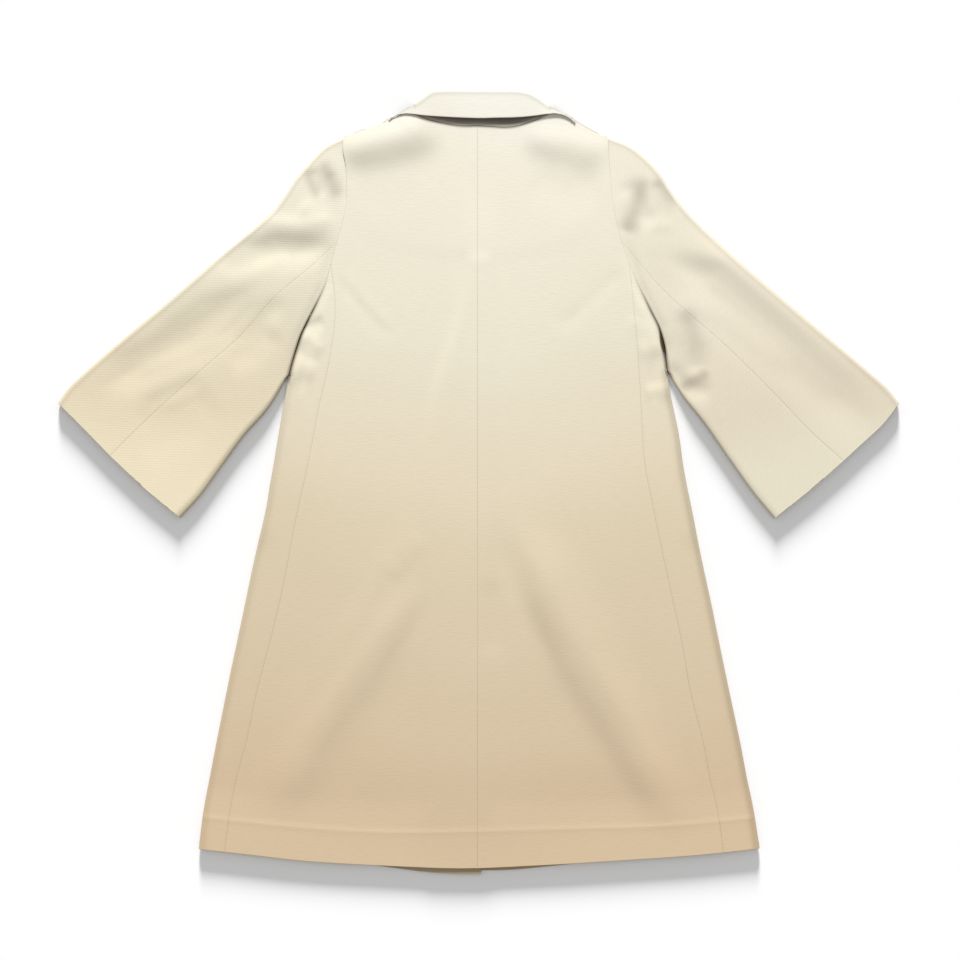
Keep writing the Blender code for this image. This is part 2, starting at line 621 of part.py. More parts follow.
def sleeve_pieces(side):
    """The two walls of a sleeve: the top sleeve over its upper fold, the under sleeve below."""
    plan = pull_back(sleeve_plan(side), ("top",))
    middle = plan[len(plan) // 2, SLEEVE_SEAM_STATION]
    top_start, top_arc = sleeve_fold(plan[:, 0], plan[:, 1], middle)
    under_start, under_arc = sleeve_fold(plan[:, -1], plan[:, -2], middle)
    plan[:, 0], plan[:, -1] = top_start, under_start
    seam = SLEEVE_SEAM_STATION
    front = FRONT_SLEEVE_STATION

    top_sleeve = Wall(CLOTH)
    above = top_sleeve.add(*raised(pull_back(plan[:, :seam + 1], ("last",)), sleeve_layer))
    arc = top_sleeve.add(*top_arc)
    below = top_sleeve.add(*raised(pull_back(plan[:, :front + 1], ("last",)), sleeve_floor, False))
    top_sleeve.weave(np.hstack([above[:, ::-1], arc, below]))

    under_sleeve = Wall(CLOTH)
    above = under_sleeve.add(*raised(pull_back(plan[:, seam:], ("first",)), sleeve_layer))
    arc = under_sleeve.add(*under_arc)
    below = under_sleeve.add(*raised(pull_back(plan[:, front:], ("first",)), sleeve_floor, False))
    under_sleeve.weave(np.hstack([above, arc, below[:, ::-1]]))
    return top_sleeve, under_sleeve


def facing_of_surface(numbers_grids, points):
    """Outer directions of a bent surface, from the faces round each point."""
    facings = np.zeros_like(points)
    for grid in numbers_grids:
        a, b = points[grid[:-1, :-1]], points[grid[1:, :-1]]
        c, d = points[grid[1:, 1:]], points[grid[:-1, 1:]]
        normal = np.cross(c - a, d - b)
        for corner in (grid[:-1, :-1], grid[1:, :-1], grid[1:, 1:], grid[:-1, 1:]):
            np.add.at(facings, corner.reshape(-1), normal.reshape(-1, 3))
    return facings / np.linalg.norm(facings, axis=1)[:, None]


def collar_layer(upper):
    """The upper or the under collar behind the neck: the stand, the roll and the fall turned over it."""
    depth = 0.0 if upper else COLLAR_CLOTH + COLLAR_AIR
    radius = ROLL_OUTER - depth
    columns = even(COLLAR_CELLS)
    roll = along(ROLL_LINE, columns)
    edge = along(FALL_EDGE, columns)
    roll_in = inward(roll, BELOW_NECK)
    stand_start = roll + roll_in * (COLLAR_CLOTH / 2 + ROLL_OUTER)
    rolled = slice(COLLAR_FLAT_CELLS, COLLAR_CELLS + 1 - COLLAR_FLAT_CELLS)
    fall_start = roll + roll_in * COLLAR_CLOTH / 2
    fall_start[rolled] = stand_start[rolled]
    share = np.sin(math.pi * columns)
    roll_height = COLLAR_END_HEIGHT + (ROLL_HEIGHT - COLLAR_END_HEIGHT) * share
    edge_height = COLLAR_END_HEIGHT + (FALL_EDGE_HEIGHT - COLLAR_END_HEIGHT) * share
    rows = even(FALL_CELLS)[:, None]
    fall = np.zeros((FALL_CELLS + 1, COLLAR_CELLS + 1, 3))
    fall[..., :2] = fall_start * (1 - rows[..., None]) + edge * rows[..., None]
    fall[..., 2] = roll_height * (1 - rows) + edge_height * rows - depth

    centre_height = roll_height - ROLL_OUTER
    turns = []
    for angle in np.linspace(math.pi / 2, -math.pi / 2, ROLL_CELLS + 1)[1:-1]:
        flat = stand_start - roll_in * radius * math.cos(angle)
        turns.append(np.column_stack([flat, centre_height + radius * math.sin(angle)])[rolled])
    turns = np.stack(turns)

    neck = [along(BACK_NECK[side], even(BACK_NECK_CELLS)) for side in ("left", "right")]
    neck = np.concatenate([neck[0], neck[1][-2::-1]])
    neck = (neck - inward(neck, BELOW_NECK) * SEAM_GAP)[rolled]
    seam_height = back_layer(neck[:, 0], neck[:, 1]) + (CLOTH - COLLAR_CLOTH) / 2
    if upper:
        seam_height = seam_height - COLLAR_CLOTH - COLLAR_AIR
    foot = np.column_stack([neck, seam_height])
    head = np.column_stack([stand_start, centre_height - radius])[rolled]
    stand = head * (1 - rows[..., None]) + foot * rows[..., None]

    blocks = [fall, turns, stand]
    starts = np.cumsum([0] + [block.shape[0] * block.shape[1] for block in blocks])
    fall_numbers, turn_numbers, stand_numbers = (
        start + np.arange(block.shape[0] * block.shape[1]).reshape(block.shape[:2])
        for start, block in zip(starts, blocks))
    turned = np.vstack([fall_numbers[:1, rolled], turn_numbers, stand_numbers[:1]])
    grids = [fall_numbers, turned[::-1], stand_numbers[::-1]]

    points = np.concatenate([block.reshape(-1, 3) for block in blocks])
    wall = Wall(COLLAR_CLOTH)
    wall.add(points, facing_of_surface(grids, points))
    for grid in grids:
        wall.weave(grid)
    return wall


def collar_front(side):
    """A collar end, both layers in one, flat on the floor under the front's neckline."""
    rows = even(FALL_CELLS)[:, None]
    table = np.array(COLLAR_FRONT[side], float)
    places = table[None, :, :2] * (1 - rows[..., None]) + table[None, :, 2:] * rows[..., None]
    points = np.concatenate([places, np.full((*places.shape[:2], 1), COLLAR_END_CLOTH / 2)], axis=-1)
    wall = Wall(COLLAR_END_CLOTH)
    wall.weave(wall.add(points, np.broadcast_to((0.0, 0.0, 1.0), points.shape)))
    return wall


# ---- objects ----------------------------------------------------------------------------------------
WOOL = {"colour": (0.84, 0.76, 0.62), "roughness": 0.86}
COLLAR_WOOL = {"colour": (0.90, 0.87, 0.79), "roughness": 0.84}


def make_material(name, look):
    """Wool cloth in one colour."""
    material = bpy.data.materials.new(name)
    material.use_nodes = True
    shader = next(node for node in material.node_tree.nodes if node.type == "BSDF_PRINCIPLED")
    shader.inputs["Base Color"].default_value = (*look["colour"], 1.0)
    shader.inputs["Roughness"].default_value = look["roughness"]
    shader.inputs["Metallic"].default_value = 0.0
    return material


def to_floor_frame(corners, centre):
    """Millimetres in the tailor's frame to metres, hem towards -Y."""
    x = corners[:, 0] - centre[0]
    y = centre[1] - corners[:, 1]
    return np.column_stack([x, y, corners[:, 2]]) * 0.001


def enclosed(corners, faces):
    """Signed volume times six: positive when the faces point out."""
    total = 0.0
    for face in faces:
        for b, c in zip(face[1:-1], face[2:]):
            total += np.dot(corners[face[0]], np.cross(corners[b], corners[c]))
    return total


def make_object(name, corners, faces, look):
    """One closed piece of cloth as an object."""
    if enclosed(corners, faces) < 0:
        faces = [tuple(reversed(face)) for face in faces]
    mesh = bpy.data.meshes.new(name)
    mesh.from_pydata([tuple(corner) for corner in corners], [], faces)
    mesh.materials.append(make_material(name + "_wool", look))
    mesh.shade_smooth()
    mesh.set_sharp_from_angle(angle=math.radians(50))
    thing = bpy.data.objects.new(name, mesh)
    bpy.context.scene.collection.objects.link(thing)
    return thing


def build():
    """Empty the scene and lay out the coat."""
    for thing in list(bpy.data.objects):
        bpy.data.objects.remove(thing)
    walls = {}
    for side in ("left", "right"):
        walls["back_" + side] = (back_panel(side), WOOL)
        walls["side_" + side] = (side_panel(side), WOOL)
        walls["front_" + side] = (front_panel(side), WOOL)
        top_sleeve, under_sleeve = sleeve_pieces(side)
        walls["sleeve_" + side + "_top"] = (top_sleeve, WOOL)
        walls["sleeve_" + side + "_under"] = (under_sleeve, WOOL)
        walls["collar_front_" + side] = (collar_front(side), COLLAR_WOOL)
    walls["collar_upper"] = (collar_layer(True), COLLAR_WOOL)
    walls["collar_under"] = (collar_layer(False), COLLAR_WOOL)
    solids = {name: (*wall.solid(), look) for name, (wall, look) in walls.items()}
    every = np.concatenate([corners for corners, faces, look in solids.values()])
    centre = (every.min(axis=0) + every.max(axis=0)) / 2
    for name, (corners, faces, look) in solids.items():
        make_object(name, to_floor_frame(corners, centre), faces, look)


build()
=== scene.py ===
"""Looks of the long cream wool coat that lies flat on its front: finer cloth walls on its solids' form.

Each panel is laid out again in millimetres in the tailor's frame that the solids use: x to the right
from the centre back seam, "down" from the nape to the hem, z up from the floor. The last step turns
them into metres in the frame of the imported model.
"""
import json
import math

import bpy
import numpy as np
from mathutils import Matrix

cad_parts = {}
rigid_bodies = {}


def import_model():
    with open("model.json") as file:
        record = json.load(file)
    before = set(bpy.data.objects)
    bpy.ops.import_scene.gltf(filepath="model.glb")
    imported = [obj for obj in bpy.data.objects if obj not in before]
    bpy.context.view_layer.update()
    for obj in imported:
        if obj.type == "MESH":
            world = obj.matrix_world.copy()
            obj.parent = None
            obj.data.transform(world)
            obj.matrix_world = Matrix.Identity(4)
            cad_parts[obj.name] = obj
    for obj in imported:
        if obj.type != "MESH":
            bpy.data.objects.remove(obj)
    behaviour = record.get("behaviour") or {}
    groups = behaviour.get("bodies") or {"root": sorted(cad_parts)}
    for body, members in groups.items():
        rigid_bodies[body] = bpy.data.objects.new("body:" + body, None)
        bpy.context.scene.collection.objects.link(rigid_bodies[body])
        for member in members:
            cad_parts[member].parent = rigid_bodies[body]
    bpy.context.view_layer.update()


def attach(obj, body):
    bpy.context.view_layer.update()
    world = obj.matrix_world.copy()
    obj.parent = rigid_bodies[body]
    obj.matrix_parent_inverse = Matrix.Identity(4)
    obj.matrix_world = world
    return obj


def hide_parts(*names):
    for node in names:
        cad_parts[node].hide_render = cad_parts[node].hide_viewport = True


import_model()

bl_info = {
    "name": "Long wool coat, laid flat",
    "version": (1, 0, 0),
    "blender": (4, 5, 0),
    "location": "View3D > Sidebar > Coat",
    "description": "Lays out the panels of a long wool coat and the table that it is photographed on",
    "category": "Object",
}

# ---- driving sizes, mm ------------------------------------------------------------------------------
CLOTH = 2.2              # coat cloth with its pressed seams
COLLAR_CLOTH = 1.2       # pressed collar layers
TURN_UP = 1.6            # second ply inside the hem
HEM_STEP = 8.0           # width of the ridge where the turn-up starts
PLY_AIR = 0.4            # least air between two layers laid on each other
SEAM_GAP = 0.3           # air at the collar's neck seam
COLLAR_AIR = 0.3         # air between the upper and the under collar
LOFT = 2.3               # how far the back floats over the fronts
LOFT_LOW, LOFT_HIGH = 0.05, 3.35
NECK_PRESS = 0.95        # share of the loft that the collar presses out
SLEEVE_FULLNESS = 2.2    # more loft in the sleeves, beyond the armhole
SKIRT_FULLNESS = 1.2     # and in the middle of the skirt
ARMHOLE_RAMP = 60.0      # the sleeve's loft grows over this width
SLEEVE_END = (560.0, 600.0)      # no sleeve reaches further down than this
SKIRT_WIDTH = (160.0, 270.0)     # the skirt's fullness fades between these distances from the centre
SKIRT_TOP, SKIRT_END = (430.0, 640.0), (880.0, 960.0)

FOLD_PROBE = 4.0         # a fold's height is read this far inside its edge
BELOW_NECK = (0.0, 200.0)        # places inside the coat, to tell its inner side from its outer one
MIDDLE_BACK = (0.0, 600.0)

SIDE_SEAM_INSET = 40.0   # the front side seam lies this far under the side fold
SIDE_SEAM_START = 6.0    # and this far at the underarm
SIDE_SEAM_GROWTH = 8.0   # what each row adds, below the underarm
SIDE_HEM_RISE = 1.0      # the hidden seam ends this far above the hem
BODY_ROWS = 30           # rows from the princess seam's top to the turn-up
BACK_SHOULDER_CELLS, BACK_NECK_CELLS = 4, 7
FRONT_SHOULDER_CELLS, FRONT_NECK_CELLS = 4, 4
SIDE_CELLS, SIDE_UNDER_CELLS = 3, 2
SLEEVE_ROWS = 19

COLLAR_CELLS = 2 * BACK_NECK_CELLS      # along the back of the collar
FALL_CELLS = 3           # from the roll line to the fall's edge
ROLL_CELLS = 5
ROLL_OUTER = 4.5         # radius of the upper collar at the roll line
COLLAR_FLAT_CELLS = 2    # cells at each end where the fall lies on the shoulder with no roll
COLLAR_END_CLOTH = 2.2   # the collar's two layers pressed together, where they lie under the fronts
COLLAR_FRONT_LIFT = COLLAR_END_CLOTH + PLY_AIR
COLLAR_END_HEIGHT = 10.3     # upper layer's middle at the collar's two ends on the shoulders
FALL_EDGE_HEIGHT = 13.8      # upper layer's middle at the fall's edge, centre back
ROLL_HEIGHT = 10.6           # upper layer's middle at the roll line, centre back

# ---- tables: places on the laid coat, mm ------------------------------------------------------------
# (x left side, down left side, x right side, down right side), from the shoulder to the underarm
ARMHOLE = (
    (-188, 17, 183, 17), (-188, 34, 183, 36), (-184, 58, 185, 58), (-183, 86, 187, 86),
    (-184, 112, 190, 112), (-190, 140, 195, 138), (-197, 164, 201, 162), (-205, 193, 212, 193),
    (-213, 222, 223, 219), (-226, 249, 233, 238), (-238, 272, 244, 260), (-248, 294, 255, 283),
    (-257, 322, 262, 314), (-264, 350, 265.5, 343),
)
SLEEVE_SEAM_STATION = 6      # the sleeve's back seam meets the armhole here
PRINCESS_STATION = 7         # and the seam of the side panel here
FRONT_SLEEVE_STATION = 11    # the sleeve's hidden front seam
UNDERARM = len(ARMHOLE) - 1

# (down, x left, x right)
PRINCESS_SEAM = (
    (193, -205, 212), (258, -199, 219), (328, -207, 225), (395, -222, 229), (473, -237, 234),
    (546, -253, 248), (664, -276, 273), (714, -288, 284), (798, -310, 299), (865, -324, 316),
    (913, -337, 325), (960, -346, 336), (1018, -354, 344),
)
SIDE_EDGE = (
    (340, -264, 265), (350, -264, 266), (378, -269, 270.5), (430, -278, 281.5), (479, -286.2, 288.4),
    (512, -292, 294.7), (537, -296, 300), (563, -302, 305), (588, -308, 309.8), (613, -313.6, 315),
    (664, -324.3, 326.1), (714, -334.7, 336.3), (764, -345.4, 346.6), (815, -355.7, 357.4),
    (865, -365.7, 368), (916, -375.4, 377.6), (953, -382.5, 385.6), (980, -386.3, 390),
    (1012, -390, 395),
)
# (x, down)
HEM = (
    (-390, 1012), (-327, 1019), (-248, 1028), (-136, 1034.9), (-2, 1038.7), (65, 1035.8), (200, 1028),
    (334, 1018), (395, 1011),
)
SHOULDER = {
    "left": ((-188, 17), (-173, 10), (-145, 0), (-128, -6.5), (-117, -11)),
    "right": ((183, 17), (164, 8), (143, -4), (128.5, -11)),
}
BACK_NECK = {
    "left": ((-117, -11), (-105, -17.5), (-91, -17.5), (-78, -12.5), (-64, -7.6), (-49, -3.8), (-34, -1),
             (-20, 0.5), (0, 0)),
    "right": ((128.5, -11), (115, -18), (100, -17), (85, -9.5), (67.5, -3), (53, 1), (38.5, 2.4),
              (24, 1.6), (0, 0)),
}
FRONT_NECK = {
    "left": ((-117, -11), (-104, 30), (-84, 60), (-52, 84), (-2, 95)),
    "right": ((128.5, -11), (112, 30), (90, 60), (54, 84), (2, 95)),
}
# (x, down): the sewing line of the turned-up hem
TURN_UP_LINE = (
    (-390, 964), (-344, 968.8), (-248, 978.6), (-125, 985.6), (-2, 984.2), (143, 980), (255, 977),
    (323, 971.6), (395, 964),
)
# (down, x): the free edges of the fronts; the right one lies under the left one
FRONT_EDGE = {
    "left": ((95, -2), (300, 0), (700, 3), (1047, 5)),
    "right": ((95, 2), (200, 2), (280, -14), (370, -43), (440, -54), (500, -55), (1043, -55)),
}
FRONT_HEM = {
    "left": ((-390, 1011), (-248, 1027), (-150, 1034), (-100, 1041), (-50, 1046), (5, 1047)),
    "right": ((-55, 1042), (6, 1042), (65, 1040), (110, 1035), (200, 1027), (395, 1010)),
}
SLEEVE_TOP = {
    "left": ((-188, 17), (-197, 20.5), (-220, 35), (-243, 62), (-260, 81), (-275, 108), (-293, 126),
             (-352, 176), (-430, 244), (-510, 311), (-547.5, 344), (-571.5, 367), (-587, 388)),
    "right": ((183, 17), (191, 20), (215, 29), (239, 49), (258, 71), (277, 101), (295, 122),
              (351, 176), (429, 244), (508, 311), (547, 344), (581, 376), (590, 388)),
}
SLEEVE_SEAM = {
    "left": ((-197, 164), (-232, 196), (-282, 238), (-332, 294), (-383, 339), (-470, 418), (-514, 462)),
    "right": ((201, 162), (262, 232), (344, 305), (428, 388), (464, 426), (512, 469)),
}
SLEEVE_UNDER = {
    "left": ((-266, 351), (-293, 396), (-326, 434), (-362, 483), (-390, 521), (-416, 549)),
    "right": ((267, 345), (286, 377), (316, 416), (355, 472), (386, 515), (415, 550)),
}
CUFF = {
    "left": ((-587, 388), (-552, 423), (-514, 462), (-465, 508), (-416, 549)),
    "right": ((590, 388), (572, 412), (538, 445), (512, 469), (463, 512), (415, 550)),
}
# collar: the roll line is its top outline, the fall's edge its lower one
ROLL_LINE = (
    (-124.5, -9), (-106, -20), (-96, -26.5), (-80, -37), (-71, -44), (-63, -48.8), (-52, -50.2),
    (-28, -50.4), (1, -50.4), (32, -50.3), (57, -49.8), (70, -47.6), (84, -40.5), (97, -31),
    (114, -21.5), (128, -14), (137.5, -6.5),
)
FALL_EDGE = (
    (-124, -6), (-118.7, -10.9), (-107, -15.5), (-92.7, -16), (-77.8, -14.2), (-49, -12), (-20, -10.5),
    (3.5, -9.8), (27, -10.4), (53, -11), (67.4, -12), (81.7, -13.6), (96.7, -15.7), (116.6, -15.2),
    (125.6, -11.8), (136.6, -3),
)
# (inner x, inner down, outer x, outer down): the hidden collar ends on the fronts
COLLAR_FRONT = {
    "left": ((-106, -16, -119, -7), (-103, 5, -128, 6), (-99, 24, -132, 32), (-80, 52, -130, 66),
             (-55, 76, -108, 102), (-32, 88, -82, 124), (-10, 93, -58, 136)),
    "right": ((117, -16, 132, -6), (113, 5, 139, 8), (108, 24, 142, 32), (87, 52, 139, 66),
              (60, 76, 116, 102), (35, 88, 88, 124), (12, 93, 62, 136)),
}
# where the collar's ends lie under the fronts: a rounded square that fades from "flat" to "end"
NECK_PAD = {
    "down": 50.0, "half_width": 182.0, "half_depth": 128.0, "power": 2.8, "flat": 0.78, "end": 1.35,
}

# the largest folds, as in the solids: (x, down) along each, rise above or below the loft, half width
FOLDS = (
    (((-196, 15), (-145, -3), (-110, -10)), -2.0, 13),           # left shoulder rolls to its seam
    (((190, 15), (140, -8), (118, -10)), -2.0, 13),              # right shoulder
    (((-200, 150), (-213, 222), (-248, 294), (-268, 365)), -2.2, 8),   # left lower armhole
    (((204, 150), (223, 219), (255, 283), (270, 360)), -2.2, 8),       # right lower armhole
    (((-190, 55), (-130, 66), (-72, 66)), -1.3, 20),             # hollow under the left shoulder
    (((74, 58), (135, 66), (186, 80)), -1.3, 20),                # under the right shoulder
    (((-236, 60), (-228, 84), (-219, 104)), -1.6, 9),            # left sleeve head
    (((-207, 64), (-197, 84), (-192, 104)), -1.1, 8),
    (((-252, 110), (-234, 122), (-200, 130)), 0.9, 12),
    (((-360, 206), (-280, 168), (-200, 170)), -2.3, 15),         # left sleeve's first long fold
    (((-310, 236), (-416, 298), (-530, 352)), -1.9, 17),         # and its second
    (((-330, 285), (-420, 318), (-500, 352)), 0.9, 13),
    (((-380, 352), (-428, 374), (-474, 396)), -0.8, 12),
    (((-345, 318), (-304, 280), (-270, 238)), -1.3, 14),
    (((203, 76), (226, 112), (246, 146)), -1.7, 12),             # right sleeve head
    (((244, 76), (262, 95), (276, 116)), -0.9, 9),
    (((262, 182), (340, 208), (440, 292), (545, 390)), -2.1, 15),      # right sleeve's long fold
    (((280, 230), (350, 268), (450, 350)), 0.9, 16),
    (((286, 255), (302, 310), (306, 356)), -1.5, 12),
    (((-218, 262), (-241, 318), (-249, 380)), -1.5, 8),          # crumples under the left arm
    (((-230, 290), (-252, 345), (-259, 410)), 0.7, 7),
    (((252, 306), (247, 350), (247, 396)), -1.5, 8),             # under the right arm
    (((226, 240), (238, 274), (243, 312)), 0.8, 8),
    (((-200, 200), (-162, 244), (-110, 300)), -1.0, 15),         # drag lines to the middle back
    (((208, 192), (160, 234), (108, 292)), -1.0, 15),
    (((22, 540), (56, 620), (102, 715), (262, 960)), -2.2, 22),  # skirt, right of the centre
    (((86, 560), (150, 680), (250, 860)), 1.0, 24),
    (((-50, 640), (-120, 727), (-186, 815), (-275, 940)), -1.9, 20),   # skirt, left of the centre
    (((-84, 520), (-156, 675), (-250, 800), (-290, 930)), 0.9, 20),
    (((20, 630), (20, 695), (20, 750)), -0.7, 16),
)
LAP_RISE = CLOTH + SEAM_GAP     # the left front climbs this much where it lies on the right one
LAP_LEAST = 2.0          # least width of the lap's flat part
LAP_KEEP = 3             # columns of the left front that move to the lap
LAP_RAMP = (30.0, 6.0)           # it climbs between these distances before the right front's edge
BACK_RAMP = (6.0, 36.0)          # the back settles again over this stretch


# ---- lines and patches ------------------------------------------------------------------------------
def smoothstep(low, high, value):
    """0 up to low, 1 from high on, and a soft rise between."""
    t = np.clip((value - low) / (high - low), 0.0, 1.0)
    return t * t * (3.0 - 2.0 * t)


def hermite(knots, values, at):
    """A smooth line through values at rising knots, read at the places in at."""
    knots = np.array(knots, float)
    values = np.array(values, float)
    slopes = np.gradient(values, knots, axis=0)
    cell = np.clip(np.searchsorted(knots, at, side="right") - 1, 0, len(knots) - 2)
    width = knots[cell + 1] - knots[cell]
    t = np.clip((at - knots[cell]) / width, 0.0, 1.0)
    if values.ndim == 2:
        t, width = t[..., None], width[..., None]
    start, end = values[cell], values[cell + 1]
    pull = ((t - 2.0) * t + 1.0) * t * slopes[cell] + (t - 1.0) * t * t * slopes[cell + 1]
    return start + (end - start) * t * t * (3.0 - 2.0 * t) + pull * width


def along(points, fractions):
    """Places at the given fractions of the length of a smooth line through the points."""
    points = np.array(points, float)
    steps = np.linalg.norm(np.diff(points, axis=0), axis=1)
    reach = np.concatenate([[0.0], np.cumsum(steps)])
    return hermite(reach, points, np.asarray(fractions, float) * reach[-1])


def even(cells):
    """cells + 1 even fractions from 0 to 1."""
    return np.linspace(0.0, 1.0, cells + 1)


def patch(rows, columns, first, last, top, bottom):
    """A grid of places between four border lines: first and last column, top and bottom row."""
    r = np.asarray(rows)[:, None, None]
    c = np.asarray(columns)[None, :, None]
    sides = (1 - c) * first[:, None] + c * last[:, None]
    ends = (1 - r) * top[None] + r * bottom[None]
    corners = ((1 - r) * ((1 - c) * top[0] + c * top[-1]) + r * ((1 - c) * bottom[0] + c * bottom[-1]))
    return sides + ends - corners


def inward(points, towards):
    """Unit directions square to a line, on the side where the place towards lies."""
    tangent = np.gradient(np.asarray(points, float), axis=0)
    across = np.stack([-tangent[:, 1], tangent[:, 0]], axis=1)
    across /= np.linalg.norm(across, axis=1)[:, None]
    facing = np.sign(np.sum(across * (np.asarray(towards, float) - points), axis=1))
    return across * facing[:, None]


# ---- heights of the laid layers ---------------------------------------------------------------------
def neck_pad(x, down):
    """1 where the collar's ends lie under the fronts, falling to 0 around them."""
    pad = NECK_PAD
    spread = (np.abs(x / pad["half_width"]) ** pad["power"]
              + np.abs((down - pad["down"]) / pad["half_depth"]) ** pad["power"])
    return 1.0 - smoothstep(pad["flat"], pad["end"], spread)


def height_on(table, x):
    """How far down a tabled line lies at x."""
    return hermite(*np.array(table, float).T, np.asarray(x, float))


def hem_zone(x, down):
    """1 over the turned-up hem, 0 above it."""
    return smoothstep(0.0, HEM_STEP, down - height_on(TURN_UP_LINE, x))


def right_edge(down):
    """Where the free edge of the right front lies."""
    return hermite(*np.array(FRONT_EDGE["right"], float).T, np.asarray(down, float))


def climb(x, down):
    """How far the left front has climbed onto the right one, 0 to 1."""
    edge = right_edge(down)
    return smoothstep(edge - LAP_RAMP[0], edge - LAP_RAMP[1], x)


def lap(x, down):
    """How much higher the left front lies for the right one under it."""
    return climb(x, down) * (1.0 - neck_pad(x, down)) * (LAP_RISE + TURN_UP * hem_zone(x, down))


def to_path(path, x, down):
    """From each place to a line: the distance, the side of it, and how full a crease is there along it."""
    path = np.array(path, float)
    steps = np.diff(path, axis=0)
    lengths = np.linalg.norm(steps, axis=1)
    nearest, side, share = np.full(np.shape(x), np.inf), np.zeros(np.shape(x)), np.zeros(np.shape(x))
    for start, step, length, before in zip(path, steps, lengths, np.cumsum(lengths) - lengths):
        t = np.clip(((x - start[0]) * step[0] + (down - start[1]) * step[1]) / length ** 2, 0, 1)
        off_x, off_down = x - start[0] - t * step[0], down - start[1] - t * step[1]
        off = np.hypot(off_x, off_down)
        below = np.sign(step[0] * off_down - step[1] * off_x)
        side = np.where(off < nearest, below, side)
        share = np.where(off < nearest, (before + t * length) / lengths.sum(), share)
        nearest = np.minimum(nearest, off)
    full = smoothstep(0.0, CREASE_END, share) * (1.0 - smoothstep(1.0 - CREASE_END, 1.0, share))
    return nearest, side, full


def creases(table, x, down):
    """The sum of a table's creases: soft ridges and troughs, each as wide as its row says.

    A row's one half width holds on both sides of its line; of two, the first holds above it.
    """
    total = np.zeros(np.shape(x))
    for path, rise, *half_widths in table:
        nearest, side, full = to_path(path, x, down)
        half_width = np.where(side > 0, half_widths[-1], half_widths[0])
        total += rise * full * np.exp(-(nearest / half_width) ** 2)
    return total


def fullness(x, down):
    """More loft than elsewhere: in the sleeves beyond the armhole, and in the middle of the skirt."""
    arm = np.array(ARMHOLE, float)
    level = np.clip(down, arm[0, 1], arm[-1, 1])
    left = -hermite(arm[:, 1], arm[:, 0], level)
    right = hermite(arm[:, 3], arm[:, 2], level)
    beyond = np.abs(x) - np.where(x < 0, left, right)
    sleeve = smoothstep(0.0, ARMHOLE_RAMP, beyond) * (1.0 - smoothstep(*SLEEVE_END, down))
    middle = 1.0 - smoothstep(*SKIRT_WIDTH, np.abs(x))
    length = smoothstep(*SKIRT_TOP, down) * (1.0 - smoothstep(*SKIRT_END, down))
    return SLEEVE_FULLNESS * sleeve + SKIRT_FULLNESS * middle * length


def loft(x, down):
    """Air between the front layer and the back layer, beyond the least."""
    more = fullness(x, down)
    high = LOFT_HIGH + 2 * more
    middle, half = (LOFT_LOW + high) / 2, (high - LOFT_LOW) / 2
    free = LOFT + more + creases(FOLDS, x, down) * (1.0 + more / LOFT)
    soft = middle + half * np.tanh((free - middle) / half)
    return soft * (1.0 - NECK_PRESS * neck_pad(x, down))


def floor_layer(x, down):
    """Middle of the layer on the floor."""
    return CLOTH / 2 + COLLAR_FRONT_LIFT * neck_pad(x, down)


def left_front_layer(x, down):
    """Middle of the left front, which laps over the right one."""
    return floor_layer(x, down) + lap(x, down)


def back_layer(x, down):
    """Middle of the upper layer, laid over the fronts."""
    below = floor_layer(x, down) + CLOTH / 2 + TURN_UP * hem_zone(x, down)
    settled = 1.0 - smoothstep(BACK_RAMP[0], BACK_RAMP[1], x)
    own_turn_up = TURN_UP * hem_zone(x, down)
    return below + lap(x, down) * settled + PLY_AIR + loft(x, down) + own_turn_up + CLOTH / 2


def sleeve_layer(x, down):
    """Middle of a sleeve's upper layer, whose lower one lies on the floor."""
    return CLOTH + PLY_AIR + loft(x, down) + CLOTH / 2


def start_of_fold(edge, towards_cloth, layer):
    """Where the cloth above a fold starts to bend down."""
    probe = edge + towards_cloth * FOLD_PROBE
    radius = (layer(probe[:, 0], probe[:, 1]) - CLOTH / 2) / 2
    return edge + towards_cloth * (CLOTH / 2 + radius)[:, None]


def fold_arc(edge, towards_cloth, top_height):
    """Rows of points round a fold whose outside reaches the edge line, from its upper layer to the floor."""
    floor = CLOTH / 2
    radius = (top_height - floor) / 2
    centre = edge + towards_cloth * (CLOTH / 2 + radius)[:, None]
    points = []
    for angle in np.linspace(math.pi / 2, -math.pi / 2, FINE_ARC_CELLS + 1)[1:-1]:
        flat = centre - towards_cloth * math.cos(angle) * radius[:, None]
        points.append(np.column_stack([flat, floor + radius * (1 + math.sin(angle))]))
    return np.stack(points, axis=1)


def body_downs(start, foot_x, skip=0):
    """Row places from the top of the princess seam, or a later row, to the hem at foot_x."""
    turn_up = float(height_on(TURN_UP_LINE, foot_x))
    hem = float(height_on(HEM, foot_x))
    rows = np.linspace(start, turn_up, BODY_ROWS + 1 - skip)
    return np.concatenate([rows, [turn_up + HEM_STEP, (turn_up + hem) / 2, hem]])


def line_at(table, column, downs):
    """Places on a line that is tabled by its down values."""
    table = np.array(table, float)
    return np.column_stack([hermite(table[:, 0], table[:, column], downs), downs])


def stations(side):
    """The armhole's stations on one side."""
    table = np.array(ARMHOLE, float)
    return table[:, :2] if side == "left" else table[:, 2:]


def table_column(side):
    """The column of a table by its down values that holds one side's x."""
    return 1 if side == "left" else 2


def princess_line(side):
    """Rows of the princess seam, from its top to the hem."""
    column = table_column(side)
    downs = body_downs(PRINCESS_SEAM[0][0], PRINCESS_SEAM[-1][column])
    return line_at(PRINCESS_SEAM, column, downs)


